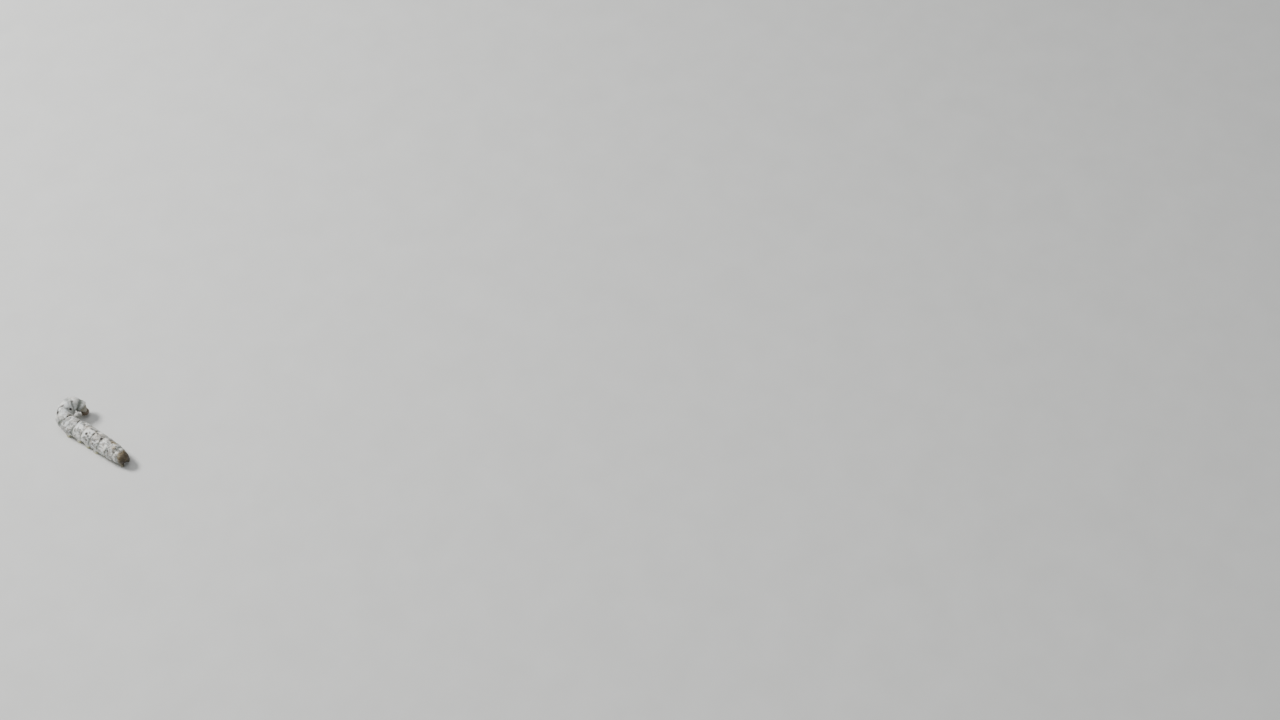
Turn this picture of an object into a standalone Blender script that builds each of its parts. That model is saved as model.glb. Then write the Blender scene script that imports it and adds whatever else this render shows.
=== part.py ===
"""Still, life-size model of a silkworm, its front curled round to its right.

Metres, +Z up. The body lies along Y with the tail at +Y, its left side is +X,
and it stands on the flat soles of its prolegs and claspers at z = 0.
"""
import math

import bmesh
import bpy
from mathutils import Vector

MM = 0.001

# Body segments from the tail end forwards.
# Name, length, half width, turn to the left in degrees.
SEGMENTS = (
    ("abdomen_10", 2.6 * MM, 2.35 * MM, 0.0),
    ("abdomen_9", 2.3 * MM, 2.95 * MM, 0.0),
    ("abdomen_8", 3.6 * MM, 3.35 * MM, 0.0),
    ("abdomen_7", 4.1 * MM, 3.55 * MM, 0.0),
    ("abdomen_6", 4.3 * MM, 3.6 * MM, 0.0),
    ("abdomen_5", 4.7 * MM, 3.6 * MM, 0.0),
    ("abdomen_4", 5.1 * MM, 3.6 * MM, 8.0),
    ("abdomen_3", 5.3 * MM, 3.6 * MM, -22.0),
    ("abdomen_2", 4.4 * MM, 3.76 * MM, -59.0),
    ("abdomen_1", 2.3 * MM, 3.78 * MM, -30.5),
    ("thorax_3", 2.1 * MM, 3.6 * MM, -27.5),
    ("thorax_2", 1.75 * MM, 2.8 * MM, -22.0),
    ("thorax_1", 1.5 * MM, 2.5 * MM, -19.5),
)

# Height of the body's middle line at each border, tail end first.
LINE_HEIGHTS = (
    3.4 * MM, 3.55 * MM, 3.65 * MM, 3.75 * MM, 3.75 * MM, 3.75 * MM, 3.75 * MM,
    3.75 * MM, 4.15 * MM, 5.0 * MM, 5.9 * MM, 5.95 * MM, 5.2 * MM, 4.2 * MM,
)

# The inner side of the curl is pressed in: share of the half width at each
# border, tail end first.
CURL_SQUEEZE = (
    0.0, 0.0, 0.0, 0.0, 0.0, 0.0, 0.0, 0.0, 0.1, 0.18, 0.2, 0.18, 0.12, 0.05,
)

TAIL_HEADING = 270.0
TAIL_X = 2.68 * MM
TAIL_Y = 19.507 * MM
LINE_STEP = 0.1 * MM

# Skin form
TAIL_END_HALF_WIDTH = 1.9 * MM
NECK_HALF_WIDTH = 1.84 * MM
BELLY_FLATNESS = 0.88
PLEURAL_BULGE = 0.03
BORDER_CREASE = 0.075
BORDER_CREASE_WIDTH = 0.34 * MM
FOLD_WIDTH = 0.28 * MM

# Lesser folds across a segment: share of its length from the rear, depth.
ABDOMEN_FOLDS = ((0.27, 0.03),)
THORAX_FOLDS = ((0.3, 0.05), (0.62, 0.045))

# Gap between neighbouring nodes
GAP = 0.3 * MM

# A thin limb's root on the skin, share of its radius
ROOT_SPREAD = 1.1

# Head
HEAD_LENGTH = 2.4 * MM
HEAD_HALF_WIDTH = 1.5 * MM
HEAD_DROP = 52.0
HEAD_YAW = 5.0
HEAD_SET_FORWARD = 1.2 * MM
HEAD_SUTURE_DEPTH = 0.07
HEAD_SUTURE_WIDTH = 11.0
HEAD_RINGS = 12
HEAD_SIDES = 24

# Mouthparts
MOUTH_LENGTH = 0.55 * MM
MOUTH_HALF_WIDTH = 0.62 * MM
MOUTH_FLATNESS = 0.8
MOUTH_LOW = 0.2 * MM
MOUTH_DROP = 0.1
MOUTH_SIDES = 12
MOUTH_STATIONS = ((0.0, 0.8), (0.2, 1.0), (0.5, 0.95), (0.8, 0.7), (1.0, 0.4))

# Antennae
ANTENNA_LENGTH = 0.85 * MM
ANTENNA_ROOT_RADIUS = 0.26 * MM
ANTENNA_SHARE = 0.8
ANTENNA_ANGLE = 112.0
ANTENNA_OFF = 0.48 * MM
ANTENNA_AIM = (0.9, 0.35, -0.45)
ANTENNA_SIDES = 10
ANTENNA_STATIONS = (
    (0.0, 1.0), (0.3, 0.95), (0.36, 0.75), (0.66, 0.7), (0.72, 0.45), (1.0, 0.35),
)

# Walking legs on the thorax
LEG_LENGTH = 2.3 * MM
LEG_ROOT_RADIUS = 0.38 * MM
LEG_TIP_RADIUS = 0.13 * MM
LEG_ANGLE = 156.0
LEG_SIDES = 10
LEG_HOOK = 0.22
LEG_ROOT_ROUND = 10.0
LEG_OUT = 0.86
LEG_LEAN_FORWARD = 0.7
LEG_LEAN_IN = 0.6

# Thoracic segment, place along it from its rear, share of the leg's length,
# and how far the tip sweeps forward on the outer and inner side of the curl.
LEG_PAIRS = (
    (1, 0.68, 0.88, 0.4, 0.6),
    (2, 0.78, 1.0, 0.3, 0.85),
    (3, 0.3, 0.95, 0.2, 0.3),
)
INNER_LEG_SCALE = 0.8
INNER_LEG_ANGLE = 172.0

# Share of the way out along a walking leg, share of its root's radius.
LEG_STATIONS = (
    (0.14, 1.0), (0.3, 0.78), (0.42, 0.86), (0.56, 0.62),
    (0.68, 0.66), (0.8, 0.44), (0.9, 0.36), (1.0, 0.0),
)

# Prolegs on abdomen 3 to 6
PROLEG_ANGLE = 133.0
PROLEG_ROOT_ALONG = 1.35 * MM
PROLEG_ROOT_ROUND = 21.0
PROLEG_FOOT_LATERAL = 2.9 * MM
PROLEG_SOLE_LONG = 0.72 * MM
PROLEG_SOLE_WIDE = 0.6 * MM
FOOT_SIDES = 14
FOOT_ROOT_SLOPE = 0.35 * MM

# Share of the way down a fleshy leg, share of its sole's size.
FOOT_STATIONS = ((0.3, 1.28), (0.55, 1.1), (0.76, 0.98), (0.9, 1.12), (0.97, 1.1), (1.0, 0.95))

# Claspers on abdomen 10
CLASPER_ANGLE = 138.0
CLASPER_FOOT_LATERAL = 1.5 * MM
CLASPER_SET_BACK = -0.3 * MM
CLASPER_PLACE = 0.4 * MM
CLASPER_ROOT_ALONG = 0.85 * MM
CLASPER_ROOT_ROUND = 24.0

# Horn on abdomen 8
HORN_LENGTH = 1.9 * MM
HORN_ROOT_RADIUS = 0.62 * MM
HORN_TIP_RADIUS = 0.13 * MM
HORN_PLACE = 0.36
HORN_RISE = 0.8
HORN_LEAN = 0.62
HORN_BEND = 1.4
HORN_TURN = 0.7
HORN_SIDES = 12
HORN_ROOT_ROUND = 11.0
HORN_STATIONS = (0.12, 0.3, 0.5, 0.7, 0.86, 0.96)

BODY_SIDES = 32
SEGMENT_RINGS = 9


def make_material(name, colour, roughness):
    material = bpy.data.materials.new(name)
    material.use_nodes = True
    shader = material.node_tree.nodes["Principled BSDF"]
    shader.inputs["Base Color"].default_value = (*colour, 1.0)
    shader.inputs["Roughness"].default_value = roughness
    shader.inputs["Metallic"].default_value = 0.0
    return material


def add_node(name, rings, material, caps=(None, None)):
    """Lofts closed rings into one solid, closing each end with a fan."""
    origin = Vector((0.0, 0.0, 0.0))
    for point in rings[len(rings) // 2]:
        origin += point
    origin /= len(rings[len(rings) // 2])
    bm = bmesh.new()
    rows = [[bm.verts.new(point - origin) for point in ring] for ring in rings]
    sides = len(rows[0])
    for lower, upper in zip(rows, rows[1:]):
        for i in range(sides):
            j = (i + 1) % sides
            bm.faces.new((lower[i], lower[j], upper[j], upper[i]))
    for row, centre in ((rows[0], caps[0]), (rows[-1], caps[1])):
        if centre is None:
            centre = sum((vert.co for vert in row), Vector()) / sides
        else:
            centre = centre - origin
        middle = bm.verts.new(centre)
        for i in range(sides):
            bm.faces.new((row[i], row[(i + 1) % sides], middle))
    bmesh.ops.recalc_face_normals(bm, faces=bm.faces[:])
    mesh = bpy.data.meshes.new(name)
    bm.to_mesh(mesh)
    bm.free()
    mesh.materials.append(material)
    obj = bpy.data.objects.new(name, mesh)
    obj.location = origin
    bpy.context.scene.collection.objects.link(obj)
    return obj


def blend(x, knots, values):
    """Smooth curve through the values at the knots."""
    last = len(knots) - 1
    slopes = []
    for i in range(last + 1):
        a = max(i - 1, 0)
        b = min(i + 1, last)
        slopes.append((values[b] - values[a]) / (knots[b] - knots[a]))
    i = 0
    while i < last - 1 and x > knots[i + 1]:
        i += 1
    span = knots[i + 1] - knots[i]
    t = (x - knots[i]) / span
    return (
        (2 * t**3 - 3 * t**2 + 1) * values[i]
        + (t**3 - 2 * t**2 + t) * span * slopes[i]
        + (3 * t**2 - 2 * t**3) * values[i + 1]
        + (t**3 - t**2) * span * slopes[i + 1]
    )


BORDERS = [0.0]
HEADINGS = [TAIL_HEADING]
for _, seg_length, _, seg_turn in SEGMENTS:
    BORDERS.append(BORDERS[-1] + seg_length)
    HEADINGS.append(HEADINGS[-1] + seg_turn)
BODY_LENGTH = BORDERS[-1]
WIDTH_KNOTS = [0.0]
WIDTHS = [TAIL_END_HALF_WIDTH]
for index, (_, _, seg_width, _) in enumerate(SEGMENTS):
    WIDTH_KNOTS.append((BORDERS[index] + BORDERS[index + 1]) / 2)
    WIDTHS.append(seg_width)
WIDTH_KNOTS.append(BODY_LENGTH)
WIDTHS.append(NECK_HALF_WIDTH)


def rise(s):
    """Climb of the middle line per unit of its length."""
    reach = 0.05 * MM
    low = max(s - reach, 0.0)
    high = min(s + reach, BODY_LENGTH)
    low_height = blend(low, BORDERS, LINE_HEIGHTS)
    high_height = blend(high, BORDERS, LINE_HEIGHTS)
    return (high_height - low_height) / (high - low)


def trace_line():
    """Points of the middle line in plan, one for each step of its length."""
    points = []
    x = TAIL_X
    y = TAIL_Y
    for k in range(int(round(BODY_LENGTH / LINE_STEP)) + 2):
        s = min(k * LINE_STEP, BODY_LENGTH)
        points.append((x, y))
        heading = math.radians(blend(s, BORDERS, HEADINGS))
        run = math.sqrt(1 - rise(s) ** 2)
        x += LINE_STEP * run * math.cos(heading)
        y += LINE_STEP * run * math.sin(heading)
    return points


LINE = trace_line()


def body_frame(s):
    """Middle point, forward, left and up directions at length s."""
    k = min(max(s / LINE_STEP, 0.0), len(LINE) - 1.001)
    i = int(k)
    part = k - i
    x = LINE[i][0] * (1 - part) + LINE[i + 1][0] * part
    y = LINE[i][1] * (1 - part) + LINE[i + 1][1] * part
    s_held = min(max(s, 0.0), BODY_LENGTH)
    heading = math.radians(blend(s_held, BORDERS, HEADINGS))
    climb = rise(s_held)
    run = math.sqrt(1 - climb**2)
    forward = Vector((run * math.cos(heading), run * math.sin(heading), climb))
    left = Vector((-math.sin(heading), math.cos(heading), 0.0))
    up = forward.cross(left)
    centre = Vector((x, y, blend(s_held, BORDERS, LINE_HEIGHTS)))
    return centre, forward, left, up


def half_width(s):
    """Half width of the skin at length s, with its creases and folds."""
    width = blend(s, WIDTH_KNOTS, WIDTHS)
    depth = 0.0
    for border in BORDERS[1:-1]:
        depth += BORDER_CREASE * math.exp(-(((s - border) / BORDER_CREASE_WIDTH) ** 2))
    for i, (name, length, _, _) in enumerate(SEGMENTS):
        folds = THORAX_FOLDS if name.startswith("thorax") else ABDOMEN_FOLDS
        for place, fold_depth in folds:
            at = BORDERS[i] + place * length
            depth += fold_depth * math.exp(-(((s - at) / FOLD_WIDTH) ** 2))
    tail = SEGMENTS[0][1]
    if s < tail:
        closing = (1 - (1 - max(s, 0.0) / tail) ** 2.6) ** (1 / 2.6)
        width *= max(closing, 0.02)
    return width * (1 - depth)


def section(angle, squeeze):
    """Share of the half width at an angle from the back, left being positive."""
    across = math.sin(angle)
    if across < 0:
        across *= 1 - squeeze
    high = math.cos(angle)
    if high < 0:
        high *= BELLY_FLATNESS
    bulge = 1 + PLEURAL_BULGE * math.exp(-(((abs(math.degrees(angle)) - 108) / 14) ** 2))
    return across * bulge, high * bulge


def skin_point(s, degrees, out=0.0):
    """Point on the skin at length s and an angle from the middle of the back."""
    centre, _, left, up = body_frame(s)
    across, high = section(math.radians(degrees), blend(s, BORDERS, CURL_SQUEEZE))
    ray = left * across + up * high
    return centre + ray * half_width(s) + ray.normalized() * out


def segment_rings(index):
    rear = BORDERS[index]
    front = BORDERS[index + 1]
    rings = []
    for k in range(SEGMENT_RINGS):
        t = k / (SEGMENT_RINGS - 1)
        if index == 0:
            s = front * (1 - math.cos(t * math.pi / 2))
        else:
            s = rear + (front - rear) * t
        centre, forward, left, up = body_frame(s)
        rear_gap = 0.5 if index > 0 else 0.0
        centre = centre + forward * GAP * (rear_gap * (1 - t) - 0.5 * t)
        width = half_width(s)
        squeeze = blend(s, BORDERS, CURL_SQUEEZE)
        ring = []
        for i in range(BODY_SIDES):
            angle = math.tau * i / BODY_SIDES
            if angle > math.pi:
                angle -= math.tau
            across, high = section(angle, squeeze)
            ring.append(centre + (left * across + up * high) * width)
        rings.append(ring)
    return rings


def oval_root(s, degrees, along, round_degrees, sides, share=1.0):
    """Oval laid on the skin, held off it by the gap."""
    points = []
    for i in range(sides):
        turn = math.tau * i / sides
        points.append(
            skin_point(
                s + along * share * math.cos(turn),
                degrees + round_degrees * share * math.sin(turn),
                GAP,
            )
        )
    return points


def limb_from_skin(name, s, degrees, along, round_degrees, sides, stations, material):
    """Loft from an oval on the skin through rings at (centre, axis a, axis b)."""
    rings = [
        oval_root(s, degrees, along, round_degrees, sides, 0.45),
        oval_root(s, degrees, along, round_degrees, sides),
    ]
    for centre, axis_a, axis_b in stations:
        ring = []
        for i in range(sides):
            turn = math.tau * i / sides
            ring.append(centre + axis_a * math.cos(turn) + axis_b * math.sin(turn))
        rings.append(ring)
    caps = (skin_point(s, degrees, GAP), None)
    return add_node(name, rings, material, caps=caps)


def standing_foot(name, s, side, angle, along, round_degrees, lateral, set_back, scale, material):
    """A fleshy leg with a flat sole on the floor."""
    centre, forward, left, _ = body_frame(s)
    flat = Vector((forward.x, forward.y, 0.0)).normalized()
    root = skin_point(s, side * angle, GAP)
    foot = Vector((centre.x, centre.y, 0.0)) + left * side * lateral - flat * set_back
    stations = []
    for t, size in FOOT_STATIONS:
        place = root.lerp(foot, t)
        place.z = root.z * (1 - t)
        long_axis = flat * PROLEG_SOLE_LONG * size * scale
        lean = max(0.0, 1 - 2 * t)
        wide_axis = -left * side * PROLEG_SOLE_WIDE * size * scale
        wide_axis.z -= FOOT_ROOT_SLOPE * lean
        stations.append((place, long_axis, wide_axis))
    return limb_from_skin(
        name, s, side * angle, along, side * round_degrees, FOOT_SIDES, stations, material
    )


def walking_leg(name, s, angle, scale, sweep, material):
    """A jointed leg that tapers to a hooked claw."""
    centre, forward, left, up = body_frame(s)
    side = 1 if angle > 0 else -1
    root = skin_point(s, angle, GAP)
    outwards = (root - centre).normalized()
    inwards = -left * side
    reach = LEG_LENGTH * scale
    root_radius = LEG_ROOT_RADIUS * min(scale, 1.0)
    stations = []
    for t, size in LEG_STATIONS:
        bend = t * t
        place = root + outwards * reach * LEG_OUT * t
        place += forward * reach * sweep * bend + inwards * reach * LEG_HOOK * bend
        radius = max(root_radius * size, LEG_TIP_RADIUS)
        lean = outwards + (forward * LEG_LEAN_FORWARD + inwards * LEG_LEAN_IN) * t
        lean = lean.normalized()
        axis_a = (forward - lean * forward.dot(lean)).normalized()
        axis_b = lean.cross(axis_a) * side
        stations.append((place, axis_a * radius, axis_b * radius))
    return limb_from_skin(
        name,
        s,
        angle,
        root_radius * ROOT_SPREAD,
        side * LEG_ROOT_ROUND,
        LEG_SIDES,
        stations,
        material,
    )


def horn(material):
    """The soft horn on the back of the eighth abdominal segment."""
    s = segment_place("abdomen_8", HORN_PLACE)
    _, forward, left, up = body_frame(s)
    root = skin_point(s, 0.0, GAP)
    stations = []
    for t in HORN_STATIONS:
        place = root + up * HORN_LENGTH * HORN_RISE * t
        place -= forward * HORN_LENGTH * HORN_LEAN * t**HORN_BEND
        radius = HORN_ROOT_RADIUS * (1 - t) ** 0.8 + HORN_TIP_RADIUS * t
        lean = (up - forward * HORN_TURN * t).normalized()
        axis_a = (forward - lean * forward.dot(lean)).normalized()
        stations.append((place, axis_a * radius, left * radius))
    return limb_from_skin(
        "horn",
        s,
        0.0,
        HORN_ROOT_RADIUS * ROOT_SPREAD,
        HORN_ROOT_ROUND,
        HORN_SIDES,
        stations,
        material,
    )


# Head, in its own forward, left and up directions
NECK_CENTRE, NECK_FORWARD, NECK_LEFT, NECK_UP = body_frame(BODY_LENGTH)
HEAD_TILT = math.radians(HEAD_DROP)
HEAD_TURN = math.radians(HEAD_YAW)
HEAD_LEVEL = NECK_FORWARD * math.cos(HEAD_TURN) + NECK_LEFT * math.sin(HEAD_TURN)
HEAD_LEFT = NECK_LEFT * math.cos(HEAD_TURN) - NECK_FORWARD * math.sin(HEAD_TURN)
HEAD_FORWARD = HEAD_LEVEL * math.cos(HEAD_TILT) - NECK_UP * math.sin(HEAD_TILT)
HEAD_UP = NECK_UP * math.cos(HEAD_TILT) + HEAD_LEVEL * math.sin(HEAD_TILT)
HEAD_BACK = NECK_CENTRE + NECK_FORWARD * HEAD_SET_FORWARD
HEAD_SHAPE_KNOTS = (0.0, 0.12, 0.3, 0.5, 0.7, 0.86, 0.96, 1.0)
HEAD_SHAPE = (0.72, 0.9, 1.0, 1.0, 0.88, 0.66, 0.4, 0.12)


def head_point(share, degrees, out=0.0):
    """Point on the head capsule at a share of its length and an angle."""
    angle = math.radians(degrees)
    size = HEAD_HALF_WIDTH * blend(share, HEAD_SHAPE_KNOTS, HEAD_SHAPE)
    turned = (degrees + 180) % 360 - 180
    size *= 1 - HEAD_SUTURE_DEPTH * math.exp(-((turned / HEAD_SUTURE_WIDTH) ** 2))
    ray = HEAD_LEFT * math.sin(angle) + HEAD_UP * math.cos(angle)
    centre = HEAD_BACK + HEAD_FORWARD * HEAD_LENGTH * share
    return centre + ray * (size + out)


def head_rings():
    rings = []
    for k in range(HEAD_RINGS + 1):
        share = (1 - math.cos(math.pi * k / HEAD_RINGS)) / 2
        rings.append([head_point(share, 360 * i / HEAD_SIDES) for i in range(HEAD_SIDES)])
    return rings


def mouth_rings():
    """Blunt mouthparts below the front of the head."""
    root = HEAD_BACK + HEAD_FORWARD * (HEAD_LENGTH + GAP) - HEAD_UP * MOUTH_LOW
    aim = (HEAD_FORWARD - HEAD_UP * MOUTH_DROP).normalized()
    high = (HEAD_UP - aim * HEAD_UP.dot(aim)).normalized()
    rings = []
    for t, size in MOUTH_STATIONS:
        place = root + aim * MOUTH_LENGTH * t
        wide = MOUTH_HALF_WIDTH * size
        tall = wide * MOUTH_FLATNESS
        ring = []
        for i in range(MOUTH_SIDES):
            turn = math.tau * i / MOUTH_SIDES
            ring.append(place + HEAD_LEFT * wide * math.sin(turn) + high * tall * math.cos(turn))
        rings.append(ring)
    return rings


def antenna_rings(side):
    """Short feeler at the side of the mouth, in three joints."""
    root = head_point(ANTENNA_SHARE, side * ANTENNA_ANGLE, ANTENNA_OFF)
    ahead, aside, high = ANTENNA_AIM
    aim = (HEAD_FORWARD * ahead + HEAD_LEFT * side * aside + HEAD_UP * high).normalized()
    axis_a = (HEAD_UP - aim * HEAD_UP.dot(aim)).normalized()
    axis_b = aim.cross(axis_a)
    rings = []
    for t, size in ANTENNA_STATIONS:
        place = root + aim * ANTENNA_LENGTH * t
        radius = ANTENNA_ROOT_RADIUS * size
        ring = []
        for i in range(ANTENNA_SIDES):
            turn = math.tau * i / ANTENNA_SIDES
            ring.append(place + (axis_a * math.cos(turn) + axis_b * math.sin(turn)) * radius)
        rings.append(ring)
    return rings


def segment_place(name, share):
    """Length from the tail end to a share of the named segment."""
    names = [segment[0] for segment in SEGMENTS]
    i = names.index(name)
    return BORDERS[i] + SEGMENTS[i][1] * share


def build():
    for old in list(bpy.data.objects):
        bpy.data.objects.remove(old, do_unlink=True)

    skin = make_material("skin_white_grey", (0.62, 0.61, 0.56), 0.55)
    tail_skin = make_material("skin_tail_ochre", (0.42, 0.32, 0.2), 0.6)
    head_shell = make_material("head_brown", (0.2, 0.11, 0.055), 0.38)
    mouth_shell = make_material("mouth_dark_brown", (0.1, 0.05, 0.028), 0.4)
    feeler = make_material("antenna_tan", (0.36, 0.24, 0.14), 0.45)
    leg_shell = make_material("leg_tan", (0.4, 0.29, 0.17), 0.42)
    foot_skin = make_material("proleg_pale_green", (0.58, 0.56, 0.4), 0.55)
    horn_skin = make_material("horn_ochre", (0.38, 0.27, 0.15), 0.55)

    for i, (name, _, _, _) in enumerate(SEGMENTS):
        material = tail_skin if name == "abdomen_10" else skin
        add_node(name, segment_rings(i), material)

    add_node("head", head_rings(), head_shell)
    add_node("mouthparts", mouth_rings(), mouth_shell)
    for side, word in ((1, "left"), (-1, "right")):
        add_node(f"antenna_{word}", antenna_rings(side), feeler)
        for n, place, scale, outer_sweep, inner_sweep in LEG_PAIRS:
            walking_leg(
                f"leg_{n}_{word}",
                segment_place(f"thorax_{n}", place),
                LEG_ANGLE if side > 0 else -INNER_LEG_ANGLE,
                scale if side > 0 else scale * INNER_LEG_SCALE,
                outer_sweep if side > 0 else inner_sweep,
                leg_shell,
            )
        for n in (3, 4, 5, 6):
            standing_foot(
                f"proleg_{n}_{word}",
                segment_place(f"abdomen_{n}", 0.5),
                side,
                PROLEG_ANGLE,
                PROLEG_ROOT_ALONG,
                PROLEG_ROOT_ROUND,
                PROLEG_FOOT_LATERAL,
                0.0,
                1.0,
                foot_skin,
            )
        standing_foot(
            f"clasper_{word}",
            segment_place("abdomen_10", 0.5) + CLASPER_PLACE,
            side,
            CLASPER_ANGLE,
            CLASPER_ROOT_ALONG,
            CLASPER_ROOT_ROUND,
            CLASPER_FOOT_LATERAL,
            CLASPER_SET_BACK,
            0.95,
            foot_skin,
        )
    horn(horn_skin)


build()
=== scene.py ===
"""Looks of the silkworm model.

One skin covers the body, the prolegs and the claspers. The brown head, its
mouthparts, eyes and feelers, the jointed walking legs, the horn, the breathing
pores, the hooks of the feet and the fine hairs are pieces of their own.
Metres, +Z up: the tail is at +Y and the worm's left side is +X. Tables are in
millimetres and degrees. Lengths along the body start at the tail end, and
angles round it at the middle of the back, positive to the left.
"""
import math
import random
from itertools import product

import bpy
import numpy as np
from mathutils import Matrix, Vector


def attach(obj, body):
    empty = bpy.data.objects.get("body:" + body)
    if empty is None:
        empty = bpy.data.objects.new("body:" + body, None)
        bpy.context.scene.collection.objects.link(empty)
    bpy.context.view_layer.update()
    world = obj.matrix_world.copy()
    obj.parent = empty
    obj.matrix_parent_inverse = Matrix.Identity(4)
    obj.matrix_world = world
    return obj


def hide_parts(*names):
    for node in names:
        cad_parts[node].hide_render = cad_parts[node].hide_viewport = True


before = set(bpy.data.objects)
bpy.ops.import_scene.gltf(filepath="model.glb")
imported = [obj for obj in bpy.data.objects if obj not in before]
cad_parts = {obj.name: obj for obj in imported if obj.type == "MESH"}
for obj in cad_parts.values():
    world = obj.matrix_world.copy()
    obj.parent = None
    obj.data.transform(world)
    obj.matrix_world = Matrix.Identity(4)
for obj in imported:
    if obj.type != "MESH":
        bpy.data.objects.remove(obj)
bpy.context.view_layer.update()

MM = 0.001
ROOT = "root"
SEED = 27

# Body segments from the tail end forwards, as in the solids: name, length,
# half width, turn to the left
SEGMENTS = (
    ("abdomen_10", 2.6, 2.35, 0),
    ("abdomen_9", 2.3, 2.95, 0),
    ("abdomen_8", 3.6, 3.35, 0),
    ("abdomen_7", 4.1, 3.55, 0),
    ("abdomen_6", 4.3, 3.6, 0),
    ("abdomen_5", 4.7, 3.6, 0),
    ("abdomen_4", 5.1, 3.6, 8),
    ("abdomen_3", 5.3, 3.6, -22),
    ("abdomen_2", 4.4, 3.76, -59),
    ("abdomen_1", 2.3, 3.78, -30.5),
    ("thorax_3", 2.1, 3.6, -27.5),
    ("thorax_2", 1.75, 2.8, -22),
    ("thorax_1", 1.5, 2.5, -19.5),
)

# At the ends and borders of the segments: height of the middle line, and the
# share by which the inner side of the curl is squeezed
LINE_HEIGHTS = MM * np.array(
    (3.4, 3.55, 3.65, 3.75, 3.75, 3.75, 3.75, 3.75, 4.15, 5.0, 5.9, 5.95, 5.2, 4.2)
)
CURL_SQUEEZE = (0.0,) * 8 + (0.1, 0.18, 0.2, 0.18, 0.12, 0.05)
TAIL_HEADING = 270.0
TAIL_X = 2.68 * MM
TAIL_Y = 19.507 * MM
LINE_STEP = 0.1 * MM
TAIL_END_HALF_WIDTH = 1.9 * MM
NECK_HALF_WIDTH = 1.84 * MM
TAIL_ROUNDNESS = 2.6
BELLY_FLATNESS = 0.88
GAP = 0.3 * MM

# Fleshy feet, as in the solids: angle, half size of the root along and round
# the body, sideways distance of the sole, its set-back, scale
PROLEG_SEGMENTS = (3, 4, 5, 6)
PROLEG = (133.0, 1.35, 21.0, 2.9, 0.0, 1.0)
CLASPER = (138.0, 0.85, 24.0, 1.5, -0.3, 0.95)
CLASPER_PLACE = 0.4 * MM
SOLE_LONG = 0.72 * MM
SOLE_WIDE = 0.6 * MM
SOLE_SHARE = 0.34
FOOT_ROOT_SLOPE = 0.35 * MM
FOOT_SHAPE_KNOTS = (0.0, 0.3, 0.55, 0.76, 0.9, 0.97, 1.0)
FOOT_SHAPE = (1.55, 1.28, 1.1, 0.98, 1.12, 1.1, 0.95)
FOOT_RING_DEPTH = 0.045
FOOT_RING_PACE = 19

# Walking legs, as in the solids. Pairs: thorax segment, place on it, scale,
# sweep of the left and of the right leg.
LEG_LENGTH = 2.3 * MM
LEG_ROOT_RADIUS = 0.38 * MM
LEG_ANGLE = 156.0
INNER_LEG_ANGLE = 172.0
LEG_HOOK = 0.22
LEG_OUT = 0.86
LEG_SUNK = 0.25 * MM
LEG_PAIRS = (
    (1, 0.68, 0.88, 0.4, 0.6),
    (2, 0.78, 1, 0.3, 0.85),
    (3, 0.3, 0.95, 0.2, 0.3),
)
INNER_LEG_SCALE = 0.8

# Head and horn, as in the solids
HEAD_LENGTH = 2.4 * MM
HEAD_HALF_WIDTH = 1.5 * MM
HEAD_DROP = math.radians(52.0)
HEAD_YAW = math.radians(5.0)
HEAD_SET_FORWARD = 1.2 * MM
HORN_LENGTH = 1.9 * MM
HORN_ROOT_RADIUS = 0.62 * MM
HORN_TIP_RADIUS = 0.13 * MM
HORN_PLACE = 0.36
HORN_SUNK = 0.22 * MM
HORN_UP = 0.8
HORN_BACK = 0.62
HORN_BEND = 1.4

# Camera: the body's middle line at the border of abdomen 2 and 3 stands at
# this pixel of the 1280 x 720 photo.
PHOTO_WIDTH = 1280
PHOTO_HEIGHT = 720
ANCHOR_PIXEL_X = 67.3
ANCHOR_PIXEL_Y = 421.5
ANCHOR_BORDER = 8
PIXELS_PER_MM = 2.568
CAMERA_AZIMUTH = math.radians(125.3)
CAMERA_ELEVATION = math.radians(51.5)
LENS_MM = 50.0
SENSOR_MM = 36.0


# Curves and noise

SKIN_GIRTH = 23 * MM
NOISE_ROWS = 512


def unit(vectors):
    return vectors / np.linalg.norm(vectors, axis=-1, keepdims=True)


def cubic(t, start, end, leave, meet):
    """Curve from start to end that leaves and arrives along the given slopes."""
    return (
        (2 * t**3 - 3 * t**2 + 1) * start + (t**3 - 2 * t**2 + t) * leave
        + (3 * t**2 - 2 * t**3) * end + (t**3 - t**2) * meet
    )


def smooth(x, knots, values):
    """Smooth curve through the values at the knots."""
    x, knots, values = (np.asarray(part, float) for part in (x, knots, values))
    slopes = np.empty_like(values)
    slopes[1:-1] = (values[2:] - values[:-2]) / (knots[2:] - knots[:-2])
    slopes[[0, -1]] = (np.diff(values) / np.diff(knots))[[0, -1]]
    i = np.clip(np.searchsorted(knots, x) - 1, 0, len(knots) - 2)
    span = knots[i + 1] - knots[i]
    t = (x - knots[i]) / span
    return cubic(t, values[i], values[i + 1], span * slopes[i], span * slopes[i + 1])


def spokes(axis_a, axis_b, sides):
    """Even spokes of rings that lie in the planes of two axes."""
    turn = (np.arange(sides) * math.tau / sides)[None, :, None]
    return axis_a[:, None, :] * np.cos(turn) + axis_b[:, None, :] * np.sin(turn)


def ease(t):
    """Rises smoothly from 0 to 1 as t goes from 0 to 1."""
    t = np.clip(t, 0.0, 1.0)
    return t * t * (3 - 2 * t)


def hump(distance, width):
    return np.exp(-((distance / width) ** 2))


def wrapped(a):
    """The same angles, from -180 to 180 degrees."""
    return (a + 180) % 360 - 180


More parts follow.
